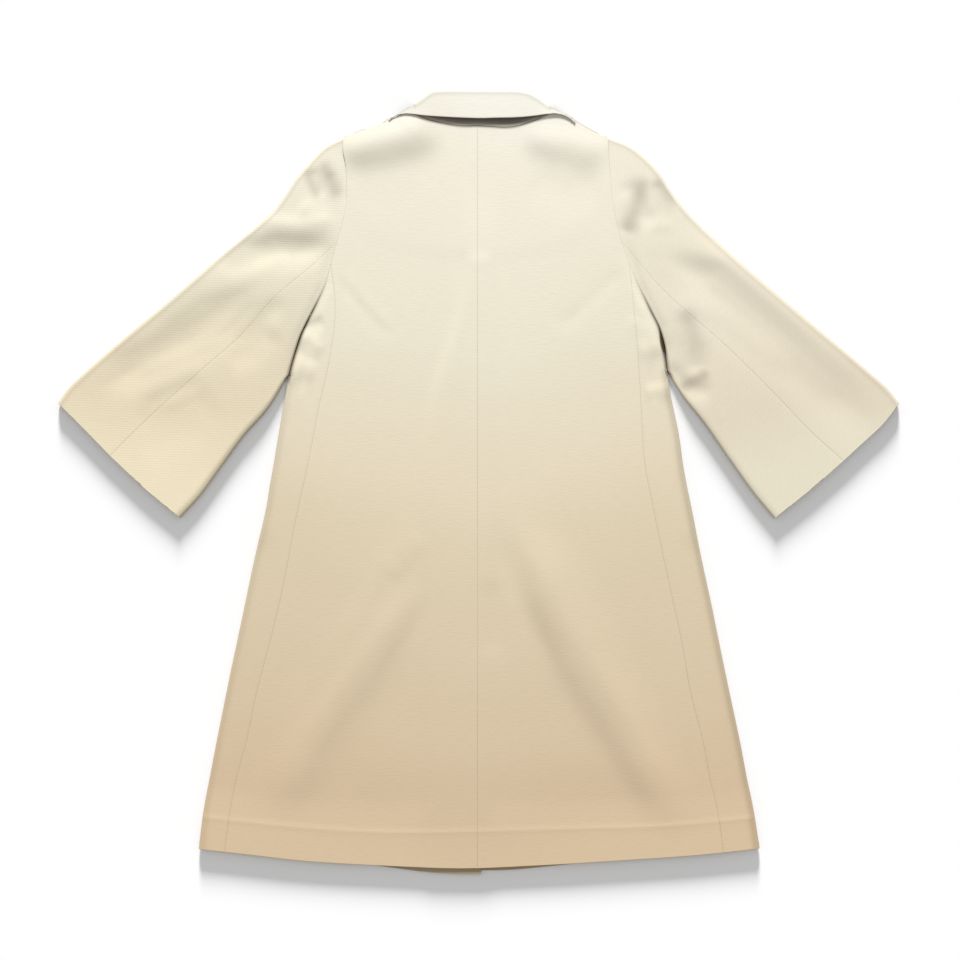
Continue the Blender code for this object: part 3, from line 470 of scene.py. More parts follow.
def side_line(side):
    """Rows of the side fold's outline, from the underarm to the hem."""
    column = table_column(side)
    skip = UNDERARM - PRINCESS_STATION
    downs = body_downs(stations(side)[-1][1], SIDE_EDGE[-1][column], skip)
    return line_at(SIDE_EDGE, column, downs)


def front_seam_line(side):
    """Rows of the hidden seam between side panel and front."""
    edge = side_line(side)
    inset = np.minimum(SIDE_SEAM_START + SIDE_SEAM_GROWTH * np.arange(len(edge)), SIDE_SEAM_INSET)
    line = edge.copy()
    line[:, 0] += inset if side == "left" else -inset
    line[-1, 1] = height_on(HEM, line[-1, 0]) - SIDE_HEM_RISE
    return line


def row_fractions(line):
    """How far down a line each of its rows is, 0 to 1."""
    return (line[:, 1] - line[0, 1]) / (line[-1, 1] - line[0, 1])


def columns_at_lap(grid):
    """The left front's grid with its last columns placed where it climbs onto the right front."""
    keep = grid.shape[1] - LAP_KEEP
    rows = []
    for row in grid:
        edge, free = float(right_edge(row[-1, 1])), row[-1, 0]
        foot, head = edge - LAP_RAMP[0], min(edge - LAP_RAMP[1], free - LAP_LEAST)
        places = np.array([foot, (foot + head) / 2, head, (head + free) / 2, free])
        lapped = np.column_stack([places, np.interp(places, row[:, 0], row[:, 1])])
        rows.append(np.concatenate([row[:keep], lapped]))
    return np.stack(rows)


def sleeve_plan(side):
    """Places of the whole sleeve: rows from armhole to cuff, columns from its top to its under edge."""
    rows = even(SLEEVE_ROWS)
    arm = stations(side)
    cuff = CUFF[side]
    seam_corner = SLEEVE_SEAM[side][-1]
    seam_knot = cuff.index(seam_corner)
    seam = along(SLEEVE_SEAM[side], rows)
    upper_cells = SLEEVE_SEAM_STATION
    lower_cells = UNDERARM - SLEEVE_SEAM_STATION
    upper = patch(rows, even(upper_cells), along(SLEEVE_TOP[side], rows), seam,
                  arm[:upper_cells + 1], along(cuff[:seam_knot + 1], even(upper_cells)))
    under_edge = along(SLEEVE_UNDER[side], rows)
    arm_low = arm[upper_cells:].copy()
    arm_low[-1] = under_edge[0]
    lower = patch(rows, even(lower_cells), seam, under_edge,
                  arm_low, along(cuff[seam_knot:], even(lower_cells)))
    return np.concatenate([upper, lower[:, 1:]], axis=1)


# ---- finer cloth ------------------------------------------------------------------------------------
BODY_PARTS = 6           # rows and columns of the finer cloth to a cell of the solids
SLEEVE_PARTS = 6
FRONT_PARTS = 3
COLLAR_PARTS = 5
FINE_ARC_CELLS = 12      # round a side fold or a sleeve's fold
STAND_PARTS = 3          # rows of the collar's stand to a cell of its fall
COLLAR_END_CELLS = 8     # across a hidden collar end
CLOSE_STEPS = (0.03, 0.07, 0.12)        # shares of a cell: rows that lie close to an edge
CLOSE_CLEAR = 1.2 * CLOSE_STEPS[-1]     # no other row lies this close to an edge
RIM_ANGLES = (45.0, 0.0, -45.0)         # where the round edge of a cloth wall has its points, degrees
ARM_LINE_PLACES, PRINCESS_LINE_PLACES = 400, 700        # places on the seams' fine lines
ARM_LINE_AT_PRINCESS = ARM_LINE_PLACES * PRINCESS_STATION // UNDERARM

ARC_WIDTH_MM = 9.0       # cloth that a fold takes up, for the grain
SNAP_REACH_MM = 14.0     # cloth beside a seam that moves with it
EASE_REACH_MM, EASE_SHARE = 12.0, 0.9   # and beside an edge that is drawn in
TIP_SHARE = 0.05         # the side panel starts this far down its first cell
CREASE_END = 0.25        # share of a crease's length over which it fades out at each end
SLEEVE_FOLD_END = 0.12   # share of a sleeve's fold that turns square to the armhole and the cuff
HEM_EASE_MM = 45.0       # the cloth rises onto the hem's plies over this stretch
HEM_PRESS_MM = 2.0       # how much the pressed hem lowers it again
HEM_WELT_MM, HEM_WELT_AT_MM, HEM_WELT_WIDTH_MM = 0.25, 3.0, 3.5      # the ridge at the sewing line

# a seam's groove has a wide shallow skirt of uneven depth on both sides
SKIRT_DEPTH, SKIRT_REACH = 0.4, 5.0     # shares of the groove's depth and width
SKIRT_UNEVEN, SKIRT_WAVE_MM, SKIRT_SEED = 0.35, 26.0, 11
WAVES = 5                # crossing waves in a ripple
# the centre back seam is pressed flatter on its way down
CENTRE_SEAM_FADE = (380.0, 660.0)
CENTRE_SEAM_LEAST = {"depth": 0.15, "round": 0.2, "gap": 0.4}
ARM_TO_PRINCESS = (170.0, 196.0)        # a back's outer seam changes from armhole to princess seam
SLEEVE_SEAM_SHADE = 0.4                 # of a seam's shade
# the armhole is a slight seam at the shoulder, and deep, dark and open near the underarm
ARM_OPENS = (188.0, 264.0)
ARM_GROWTH = {"depth": 5.0, "shade": 29.0, "width": 1.3}         # what the open stretch adds
ARM_AIR_MM = 0.12
ARM_EASE_CELLS = 3.0     # the side panel's edge comes up again this far above its tip
ARM_OPENING = {
    "left": {"down": 292.0, "length": 42.0, "half_width": 1.0},
    "right": {"down": 304.0, "length": 15.0, "half_width": 4.0},
}

# painted shade, mixed into the cloth's colour where light reaches little or where a lit edge would show too
# bright: how strong, and how far it reaches
COLLAR_SHADE, COLLAR_SHADE_MM = 0.7, 2.2               # on the back, below the collar's edge
COLLAR_SHADE_END = (80.0, 125.0)                       # it fades towards the collar's two ends
STAND_SHADE, STAND_SHADE_FOOT = 0.8, 0.4               # between the fall and the neck it is nearly dark
STAND_SHADE_MM = 4.0
ROLL_SHADE, ROLL_SHADE_MM = 0.15, 3.0
ARM_SHADE, ARM_SHADE_MM = {"body": 0.14, "sleeve": 0.6}, 6.5         # beside the open armhole
UNDERARM_SHADE, UNDERARM_SHADE_MM = 0.8, 18.0          # down the two folds that meet under the arm
UNDERARM_SIDE_MM = 3.0                                 # and onto the cloth beside them
UNDER_FOLD_SHARE = {"left": 1.2, "right": 0.5}         # the light reaches the right sleeve's lower fold
FRONT_HEM_SHADE, FRONT_HEM_SHADE_MM = 0.24, 6.0        # on the fronts' hem, where it shows below the back's
INSIDE_SHADE_MM, INSIDE_END = 14.0, (350.0, 380.0)     # on the lower layer, inside the open armhole
SIDE_SHADE, SIDE_SHADE_MM = {"left": 0.12, "right": 0.24}, 5.0       # where the sides turn under

# creases of the finer cloth: (x, down) along each from left to right, rise, half width above and below it
BODY_CREASES = (
    # the shoulders stand up beside the collar and fall away below it
    (((-207, 40), (-129, 18), (-102, 12), (-71, -19)), 4.5, 22, 21),
    (((-180, 69), (-130, 74), (-71, 63)), 0.4, 20, 20),
    (((59, 8), (89, 21), (131, 23), (196, 42)), 2.3, 20, 21),
    (((73, 67), (125, 94), (177, 79)), -1.0, 21, 31),
    # drag lines from the armholes
    (((-194, 199), (-158, 243), (-112, 294)), 1.1, 11, 9),
    (((112, 277), (150, 238), (205, 189)), 0.5, 11, 9),
    # the back bridges the step where the fronts start to lap
    (((-29, 169), (1, 168), (34, 169)), 1.2, 52, 16),
    # crumples beside the left underarm, then beside the right one
    (((-256, 286), (-232, 279), (-212, 271)), -2.0, 7, 9),
    (((-262, 292), (-235, 299), (-213, 319)), 1.3, 9, 7),
    (((-262, 308), (-239, 323), (-218, 334)), -0.9, 6, 8),
    (((-276, 348), (-245, 341), (-222, 343)), 2.2, 17, 15),
    (((208, 267), (232, 286), (264, 300)), 0.7, 10, 14),
    (((220, 315), (243, 312), (276, 308)), 1.8, 12, 14),
    (((231, 373), (248, 371), (276, 365)), 1.9, 8, 14),
    # the skirt: two long folds that spread from the waist
    (((-293, 971), (-223, 859), (-179, 793), (-127, 724), (-69, 633)), 4.9, 31, 28),
    (((50, 539), (94, 660), (139, 750), (198, 840), (247, 923), (295, 998)), 6.0, 34, 28),
    (((-123, 638), (-99, 601), (-71, 569)), 0.8, 18, 12),
)
SLEEVE_CREASES = (
    # the left sleeve
    (((-312, 134), (-248, 140), (-188, 134)), 2.3, 10, 21),
    (((-401, 204), (-328, 168), (-257, 184), (-198, 167)), -2.7, 16, 20),
    (((-455, 304), (-381, 253), (-292, 228)), -2.0, 14, 35),
    (((-540, 375), (-446, 331), (-349, 291), (-293, 239)), -3.5, 13, 22),
    (((-354, 330), (-316, 318), (-281, 281)), -2.5, 14, 19),
    (((-487, 414), (-421, 402), (-363, 372)), -2.1, 18, 36),
    (((-352, 195), (-317, 179), (-268, 164)), 1.3, 11, 21),
    (((-467, 321), (-395, 301), (-338, 270)), -1.0, 20, 18),
    (((-477, 455), (-416, 438), (-372, 419)), -0.7, 21, 23),
    # the right sleeve
    (((225, 172), (312, 221), (410, 300), (572, 443)), -3.9, 21, 34),
    (((281, 142), (349, 203), (449, 292), (537, 388)), 4.0, 21, 29),
    (((199, 138), (238, 134), (278, 146)), 0.7, 12, 8),
    (((260, 333), (298, 369), (333, 374)), -2.6, 12, 13),
    (((263, 292), (294, 319), (336, 325)), -0.9, 18, 26),
    (((200, 89), (225, 111), (249, 126)), 0.7, 13, 14),
    (((249, 183), (281, 214), (330, 244)), 0.5, 12, 15),
)
# painted soft shade in the deepest folds: (x, down) along each, strength, half width
SHADES = (
    # on the shoulders
    (((-195, 54), (-130, 50), (-92, 39), (-41, 15)), 0.2, 18),
    (((52, 17), (108, 43), (144, 55), (183, 57)), 0.12, 16),
    # on the sleeve heads
    (((-241, 64), (-232, 84), (-220, 109)), 0.24, 7),
    (((-220, 45), (-206, 76), (-190, 109)), 0.3, 10),
    (((235, 66), (226, 98), (214, 136)), 0.26, 12),
    (((226, 108), (216, 129), (205, 152)), 0.3, 12),
    (((244, 72), (262, 96), (280, 122)), 0.22, 14),
    # on the sleeves
    (((-326, 160), (-270, 154), (-195, 160)), 0.07, 13),
    (((289, 244), (298, 293), (306, 344)), 0.14, 14),
    (((278, 370), (303, 356), (328, 342)), 0.3, 8),
    (((290, 285), (302, 312), (306, 346)), 0.12, 18),
    # below the long folds of the skirt
    (((-255, 937), (-200, 853), (-150, 790), (-108, 720), (-66, 652)), 0.055, 15),
    (((48, 608), (74, 664), (115, 762), (172, 853), (227, 930), (267, 974)), 0.085, 15),
)


def finer(cells, parts):
    """Places from 0 to cells, so many parts to a cell and closer together near the two ends."""
    places = np.linspace(0, cells, cells * parts + 1)
    clear = np.minimum(places, cells - places) > CLOSE_CLEAR
    close = [0.0, *CLOSE_STEPS]
    return np.array(close + list(places[clear]) + [cells - step for step in reversed(close)])


def refined(grid, row_places, column_places):
    """A grid read between its rows and columns, on smooth lines through its places."""
    rows, columns, axes = grid.shape
    tall = hermite(np.arange(rows), grid.reshape(rows, -1), row_places)
    tall = tall.reshape(len(row_places), columns, axes).swapaxes(0, 1)
    wide = hermite(np.arange(columns), tall.reshape(columns, -1), column_places)
    return wide.reshape(len(column_places), len(row_places), axes).swapaxes(0, 1)


def turned_to(grid, side):
    """A view of a grid whose first row is the named border."""
    return {"first": grid.swapaxes(0, 1), "last": grid.swapaxes(0, 1)[::-1],
            "top": grid, "bottom": grid[::-1]}[side]


def drawn_in(grid, side, distance):
    """A border of a grid moved in from the seam line, and the cloth beside it eased along."""
    grid = grid.copy()
    turned = turned_to(grid, side)
    inner = turned[len(CLOSE_STEPS) + 1] - turned[0]
    unit = inner / np.maximum(np.linalg.norm(inner, axis=-1), 1e-6)[:, None]
    away = np.linalg.norm(turned - turned[:1], axis=-1)
    reach = np.minimum(EASE_REACH_MM, EASE_SHARE * away[-1])
    share = np.clip(1.0 - away / np.maximum(reach, 1e-6), 0.0, 1.0) ** 2
    turned += unit * np.broadcast_to(distance, len(unit))[:, None] * share[..., None]
    return grid


def snapped(grid, side, line):
    """A border of a grid moved onto a seam line, and the cloth beside it with it."""
    grid = grid.copy()
    turned = turned_to(grid, side)
    border = turned[0].copy()
    starts, steps = line[:-1], np.diff(line, axis=0)
    to_place = border[:, None] - starts[None]
    t = np.clip(np.sum(to_place * steps, axis=-1) / np.maximum(np.sum(steps ** 2, axis=-1), 1e-9), 0, 1)
    nearest = starts[None] + t[..., None] * steps
    best = np.argmin(np.linalg.norm(border[:, None] - nearest, axis=-1), axis=1)
    shift = nearest[np.arange(len(border)), best] - border
    away = np.linalg.norm(turned - border[None], axis=-1)
    share = np.clip(1.0 - away / SNAP_REACH_MM, 0.0, 1.0)[..., None]
    turned += shift[None] * share * share
    return grid


def from_border(grid, side):
    """How far each place of a grid is from the named border, in millimetres."""
    turned = turned_to(grid, side)
    distance = np.linalg.norm(turned - turned[:1], axis=-1)
    return {"first": distance.swapaxes(0, 1), "last": distance[::-1].swapaxes(0, 1),
            "top": distance, "bottom": distance[::-1]}[side]


def along_border(values, shape, side):
    """Values of a border's places carried across the whole grid."""
    if side in ("first", "last"):
        return np.broadcast_to(np.asarray(values)[:, None], shape)
    return np.broadcast_to(np.asarray(values)[None], shape)


def fine_line(table, places):
    """A line through a table's places as so many places, close together."""
    return hermite(np.arange(len(table)), table, np.linspace(0, len(table) - 1, places))


def armhole_line(side):
    """The armhole seam as a fine line."""
    return fine_line(stations(side), ARM_LINE_PLACES)


def princess_fine(side):
    """The princess seam as a fine line."""
    return fine_line(princess_line(side), PRINCESS_LINE_PLACES)


def ripple(x, down, scale, seed):
    """Soft uneven waves of about the given length, between -1 and 1, the same at each run."""
    rng = np.random.default_rng(seed)
    total = np.zeros(np.shape(x))
    angles, phases = rng.uniform(0, math.pi, WAVES), rng.uniform(0, 6.28, WAVES)
    for angle, phase, stretch in zip(angles, phases, rng.uniform(0.7, 1.5, WAVES)):
        turn = (x * math.cos(angle) + down * math.sin(angle)) * 2 * math.pi / (scale * stretch)
        total = total + np.sin(turn + phase + 0.8 * np.sin(turn * 0.37 + 2 * phase))
    return total / WAVES


class Seams:
    """Grooves, shade and edge rounding that the seams of one grid of places call for."""

    def __init__(self, places, cloth):
        self.places, self.cloth = places, cloth
        shape = places.shape[:2]
        self.dip = np.zeros(shape)
        self.shade = np.zeros(shape)
        self.round = np.full(shape, cloth.edge_round_mm)

    def sew(self, side, depth=1.0, shade=1.0, width=1.0):
        """Sink the cloth beside a border that is a seam, and note its shade."""
        x, down = self.places[..., 0], self.places[..., 1]
        distance = from_border(self.places, side)
        shape = distance.shape
        depth, shade, width = (along_border(np.broadcast_to(v, self.border(side)), shape, side)
                               for v in (depth, shade, width))
        uneven = 1.0 + SKIRT_UNEVEN * ripple(x, down, SKIRT_WAVE_MM, SKIRT_SEED)
        reach = self.cloth.seam_width_mm * width
        skirt = SKIRT_DEPTH * uneven * np.exp(-(distance / (SKIRT_REACH * reach)) ** 2)
        groove = np.exp(-(distance / reach) ** 2) + skirt
        self.dip = np.minimum(self.dip, -self.cloth.seam_depth_mm * depth * groove)
        self.shade = np.maximum(self.shade, self.cloth.seam_shade * shade * np.exp(-(distance / reach) ** 2))
        turned_to(self.round, side)[0] = self.cloth.seam_round_mm

    def border(self, side):
        """How many places the named border has."""
        return self.places.shape[0 if side in ("first", "last") else 1]


class FineWall:
    """A cloth wall of many faces: a middle surface with a thickness and round edges."""

    def __init__(self, thickness, faces_up, edge_round):
        self.thickness, self.faces_up, self.edge_round = thickness, faces_up, edge_round
        self.points, self.inner, self.grain, self.shade, self.round, self.grids = [], [], [], [], [], []

    def add(self, points, grain, shade=0.0, edge_round=None, extra_inside=0.0):
        """Add a grid of points with its grain places, and return their numbers."""
        shape = points.shape[:-1]
        start = sum(len(block) for block in self.points)
        self.points.append(points.reshape(-1, 3))
        self.grain.append(grain.reshape(-1, 2))
        self.shade.append(np.broadcast_to(shade, shape).reshape(-1))
        edge_round = self.edge_round if edge_round is None else edge_round
        self.round.append(np.broadcast_to(edge_round, shape).reshape(-1))
        self.inner.append(self.thickness / 2 + np.broadcast_to(extra_inside, shape).reshape(-1))
        return start + np.arange(int(np.prod(shape))).reshape(shape)

    def weave(self, numbers):
        """Faces between neighbouring rows and columns of a grid of point numbers."""
        quads = np.stack([numbers[:-1, :-1], numbers[1:, :-1], numbers[1:, 1:], numbers[:-1, 1:]], axis=-1)
        self.grids.append(quads.reshape(-1, 4))

    def faces(self):
        """All faces of the middle surface."""
        return np.concatenate(self.grids)

    def normals(self, points, faces):
        """Directions square to the middle surface, on its outer side."""
        a, b, c, d = (points[faces[:, k]] for k in range(4))
        square = np.cross(c - a, d - b)
        total = np.zeros_like(points)
        for k in range(4):
            np.add.at(total, faces[:, k], square)
        return total / np.maximum(np.linalg.norm(total, axis=1), 1e-9)[:, None]

    def rim(self, points, faces):
        """The free edges of the middle surface, and the way out of the cloth at each of its points."""
        starts = faces.reshape(-1)
        ends = np.roll(faces, -1, axis=1).reshape(-1)
        owner = np.repeat(np.arange(len(faces)), 4)
        count = len(points)
        forward = starts * count + ends
        free = ~np.isin(forward, ends * count + starts)
        starts, ends, owner = starts[free], ends[free], owner[free]
        along_edge = points[ends] - points[starts]
        away = (points[starts] + points[ends]) / 2 - points[faces[owner]].mean(axis=1)
        share = np.sum(away * along_edge, axis=1) / np.maximum(np.sum(along_edge ** 2, axis=1), 1e-9)
        away = away - along_edge * share[:, None]
        away /= np.maximum(np.linalg.norm(away, axis=1), 1e-9)[:, None]
        out = np.zeros_like(points)
        np.add.at(out, starts, away)
        np.add.at(out, ends, away)
        return starts, ends, out / np.maximum(np.linalg.norm(out, axis=1), 1e-9)[:, None]

    def solid(self):
        """Corners and faces of the closed wall, with the grain place and the shade of each corner."""
        points = np.concatenate(self.points)
        faces = self.faces()
        normal = self.normals(points, faces)
        if (normal[:len(self.points[0]), 2].sum() > 0) != self.faces_up:
            normal, faces = -normal, faces[:, ::-1]
        starts, ends, out = self.rim(points, faces)
        rounding = np.concatenate(self.round)[:, None]
        middle = points - out * rounding
        half, inner = self.thickness / 2, np.concatenate(self.inner)
        outer_side = middle + normal * half
        inner_side = middle - normal * inner[:, None]
        count = len(points)
        on_rim = np.unique(starts)
        number_on_rim = np.full(count, -1)
        number_on_rim[on_rim] = np.arange(len(on_rim))
        corners = [outer_side, inner_side]
        rings = [on_rim]
        for angle in RIM_ANGLES:
            turn = math.radians(angle)
            depth = (half + inner[on_rim]) / 2
            centre = middle[on_rim] + normal[on_rim] * ((half - inner[on_rim]) / 2)[:, None]
            place = (centre + out[on_rim] * rounding[on_rim] * math.cos(turn)
                     + normal[on_rim] * (depth * math.sin(turn))[:, None])
            rings.append(sum(len(block) for block in corners) + np.arange(len(on_rim)))
            corners.append(place)
        rings.append(count + on_rim)
        solid_faces = [faces, faces[:, ::-1] + count]
        first, second = number_on_rim[starts], number_on_rim[ends]
        for upper, lower in zip(rings[:-1], rings[1:]):
            solid_faces.append(np.stack([upper[second], upper[first], lower[first], lower[second]], axis=1))
        grain, shade = np.concatenate(self.grain), np.concatenate(self.shade)
        extra = len(RIM_ANGLES)
        grain = np.concatenate([grain, grain] + [grain[on_rim]] * extra)
        shade = np.concatenate([shade, shade] + [shade[on_rim]] * extra)
        return np.concatenate(corners), np.concatenate(solid_faces), grain, shade

    def cut(self):
        """Area of the cloth as it is cut, in square metres."""
        points = np.concatenate(self.points)
        a, b, c, d = (points[self.faces()[:, k]] for k in range(4))
        return float(np.sum(np.linalg.norm(np.cross(c - a, d - b), axis=1)) / 2) * 1e-6


def lengths_of(grid):
    """The longest row and the longest column of a grid of points, in metres."""
    across = np.linalg.norm(np.diff(grid, axis=1), axis=-1).sum(axis=1).max()
    down = np.linalg.norm(np.diff(grid, axis=0), axis=-1).sum(axis=0).max()
    return float(across) * 1e-3, float(down) * 1e-3


def at_height(places, height):
    """Places with their height as a third value."""
    return np.concatenate([places, np.asarray(height)[..., None]], axis=-1)


def on_floor(places, cloth=CLOTH):
    """Places in the middle of a cloth that lies flat on the floor."""
    return at_height(places, np.full(places.shape[:2], cloth / 2))


def turned_up(places):
    """The hem's second ply: how much thicker the cloth is inside."""
    return TURN_UP * hem_zone(places[..., 0], places[..., 1])


def hem_press(x, down):
    """How much the pressed hem lowers the cloth over it, and the welt along its sewing line."""
    line = height_on(TURN_UP_LINE, x)
    below = smoothstep(-HEM_EASE_MM, HEM_STEP, down - line)
    welt = np.exp(-((down - line - HEM_WELT_AT_MM) / HEM_WELT_WIDTH_MM) ** 2)
    step = smoothstep(HEM_WELT_AT_MM - 2 * HEM_WELT_WIDTH_MM, HEM_WELT_AT_MM, down - line)
    one_ply_each = TURN_UP * (hem_zone(x, down) + below) * lapped(x, down)
    eased = 2 * TURN_UP * (below - hem_zone(x, down))
    return eased - HEM_PRESS_MM * below + HEM_WELT_MM * (welt + step) - one_ply_each


def fold_shadow(x, down):
    """Painted soft shade in the deepest folds."""
    total = np.zeros(np.shape(x))
    for path, strength, half_width in SHADES:
        nearest, _, full = to_path(path, x, down)
        total = np.maximum(total, strength * full * np.exp(-(nearest / half_width) ** 2))
    return total


def lapped(x, down):
    """Where the two fronts lie over each other, 0 to 1."""
    return climb(x, down) * (1.0 - smoothstep(*BACK_RAMP, x))


def back_surface(places, seams):
    """Points of the upper layer of the body, with its seams and fine creases."""
    x, down = places[..., 0], places[..., 1]
    height = back_layer(x, down) + creases(BODY_CREASES, x, down) + seams.dip + hem_press(x, down)
    seams.shade = np.maximum(seams.shade, fold_shadow(x, down))
    return at_height(places, height)


def sleeve_surface(places, seams):
    """Points of the upper layer of a sleeve."""
    x, down = places[..., 0], places[..., 1]
    seams.shade = np.maximum(seams.shade, fold_shadow(x, down))
    return at_height(places, sleeve_layer(x, down) + creases(SLEEVE_CREASES, x, down) + seams.dip)


def arm_strength(down):
    """How far the armhole's groove has grown on its way down: 0 at the shoulder, 1 near the underarm."""
    return smoothstep(*ARM_OPENS, down)


def arm_gap(side, down, cloth):
    """Half the gap between the body and the sleeve at the armhole."""
    opened = ARM_OPENING[side]
    swell = np.exp(-((down - opened["down"]) / opened["length"]) ** 2)
    return cloth.seam_gap_mm / 2 + opened["half_width"] * swell + ARM_AIR_MM * arm_strength(down)


def inside_shade(places, border):
    """Shade on the lower layer, where the open armhole looks into the coat."""
    strength = arm_strength(turned_to(places, border)[0][:, 1])
    near = np.exp(-(from_border(places, border) / INSIDE_SHADE_MM) ** 2)
    return along_border(strength, near.shape, border) * near


def under_arm(edge):
    """Shade down a fold from the underarm, where the side and the sleeve part."""
    away = np.linalg.norm(edge - edge[0], axis=-1)
    return UNDERARM_SHADE * (1.0 - smoothstep(0.0, UNDERARM_SHADE_MM, away))


def sew_armhole(seams, side_name, border):
    """The armhole's groove along one border."""
    down = turned_to(seams.places, border)[0][:, 1]
    strength = arm_strength(down)
    seams.sew(border, depth=1.0 + ARM_GROWTH["depth"] * strength,
              shade=1.0 + ARM_GROWTH["shade"] * strength ** 2, width=1.0 + ARM_GROWTH["width"] * strength)
    beside = along_border(ARM_SHADE[side_name] * strength ** 2, seams.shade.shape, border)
    distance = from_border(seams.places, border)
    seams.shade = np.maximum(seams.shade, beside * np.exp(-(distance / ARM_SHADE_MM) ** 2))


def fine_back(side, cloth):
    """A back, from the centre seam to the armhole and the princess seam."""
    outer = np.concatenate([stations(side)[:PRINCESS_STATION], princess_line(side)])
    upper = np.linspace(0.0, 1.0, PRINCESS_STATION + 1)[:-1] * PRINCESS_SEAM[0][0]
    downs = np.concatenate([upper, body_downs(PRINCESS_SEAM[0][0], 0.0)])
    centre = np.column_stack([np.zeros(len(downs)), downs])
    top = np.concatenate([along(SHOULDER[side], even(BACK_SHOULDER_CELLS))[:-1],
                          along(BACK_NECK[side], even(BACK_NECK_CELLS))])
    columns = even(len(top) - 1)
    foot_x = outer[-1, 0] * (1 - columns)
    bottom = np.column_stack([foot_x, height_on(HEM, foot_x)])
    bottom[0], bottom[-1] = outer[-1], centre[-1]
    coarse = patch(row_fractions(centre), columns, outer, centre, top, bottom)
    rows_at = finer(coarse.shape[0] - 1, BODY_PARTS)
    grid = refined(coarse, rows_at, finer(coarse.shape[1] - 1, BODY_PARTS))
    whole_seam = np.concatenate([armhole_line(side)[:ARM_LINE_AT_PRINCESS], princess_fine(side)])
    grid = snapped(grid, "first", whole_seam)
    seams = Seams(grid, cloth)
    on_arm = 1.0 - smoothstep(*ARM_TO_PRINCESS, grid[:, 0, 1])
    seams.sew("first", depth=on_arm + cloth.princess_depth * (1 - on_arm))
    fade = 1.0 - smoothstep(*CENTRE_SEAM_FADE, grid[:, -1, 1])
    kept = {name: least + (1.0 - least) * fade for name, least in CENTRE_SEAM_LEAST.items()}
    seams.sew("last", depth=kept["depth"], shade=fade)
    seams.round[:, -1] *= kept["round"]
    grid = drawn_in(grid, "first", cloth.seam_gap_mm / 2)
    grid = drawn_in(grid, "last", cloth.seam_gap_mm / 2 * kept["gap"])
    points = back_surface(grid, seams)
    wall = FineWall(CLOTH, True, cloth.edge_round_mm)
    shade = np.maximum(seams.shade, under_collar(grid))
    wall.weave(wall.add(points, grid, shade, seams.round, turned_up(grid)))
    return wall, lengths_of(points)


def under_collar(places):
    """Shade on the cloth close below the collar's edge."""
    x, down = places[..., 0], places[..., 1]
    neck = np.where(x < 0, hermite(*ordered(BACK_NECK["left"]), np.minimum(x, 0.0)),
                    hermite(*ordered(BACK_NECK["right"]), np.maximum(x, 0.0)))
    near = np.exp(-(np.maximum(down - neck, 0.0) / COLLAR_SHADE_MM) ** 2)
    return COLLAR_SHADE * near * (1.0 - smoothstep(*COLLAR_SHADE_END, np.abs(x)))


def ordered(table):
    """The x values of a table in rising order, and its down values with them."""
    table = np.array(sorted(table), float)
    return table[:, 0], table[:, 1]


def side_plan(side):
    """Places of a side panel's flap from its tip down, and the number of rows above the side fold."""
    seam = princess_line(side)[1:]
    arm = stations(side)[PRINCESS_STATION + 1:]
    tip = stations(side)[PRINCESS_STATION]
    tip_row = np.stack([tip + (seam[0] - tip) * TIP_SHARE, tip + (arm[0] - tip) * TIP_SHARE])
    rim = np.concatenate([[tip_row[1]], arm[:-1], side_line(side)])
    inner = np.concatenate([[tip_row[0]], seam])
    columns = even(SIDE_CELLS)[None, :, None]
    return inner[:, None] * (1 - columns) + rim[:, None] * columns, len(arm)


def side_seams(places, fold_row, cloth):
    """A side panel's princess seam, and its armhole above the fold, which fades to the panel's tip."""
    seams = Seams(places, cloth)
    seams.sew("first", depth=cloth.princess_depth)
    arm_seams = Seams(places[:fold_row], cloth)
    sew_armhole(arm_seams, "body", "last")
    ease = smoothstep(0.0, ARM_EASE_CELLS * BODY_PARTS, np.arange(fold_row, 0, -1.0))[:, None]
    seams.dip[:fold_row] = np.minimum(seams.dip[:fold_row], arm_seams.dip * ease)
    seams.shade[:fold_row] = np.maximum(seams.shade[:fold_row], arm_seams.shade)
    seams.round[:fold_row, -1] = cloth.seam_round_mm
    return seams


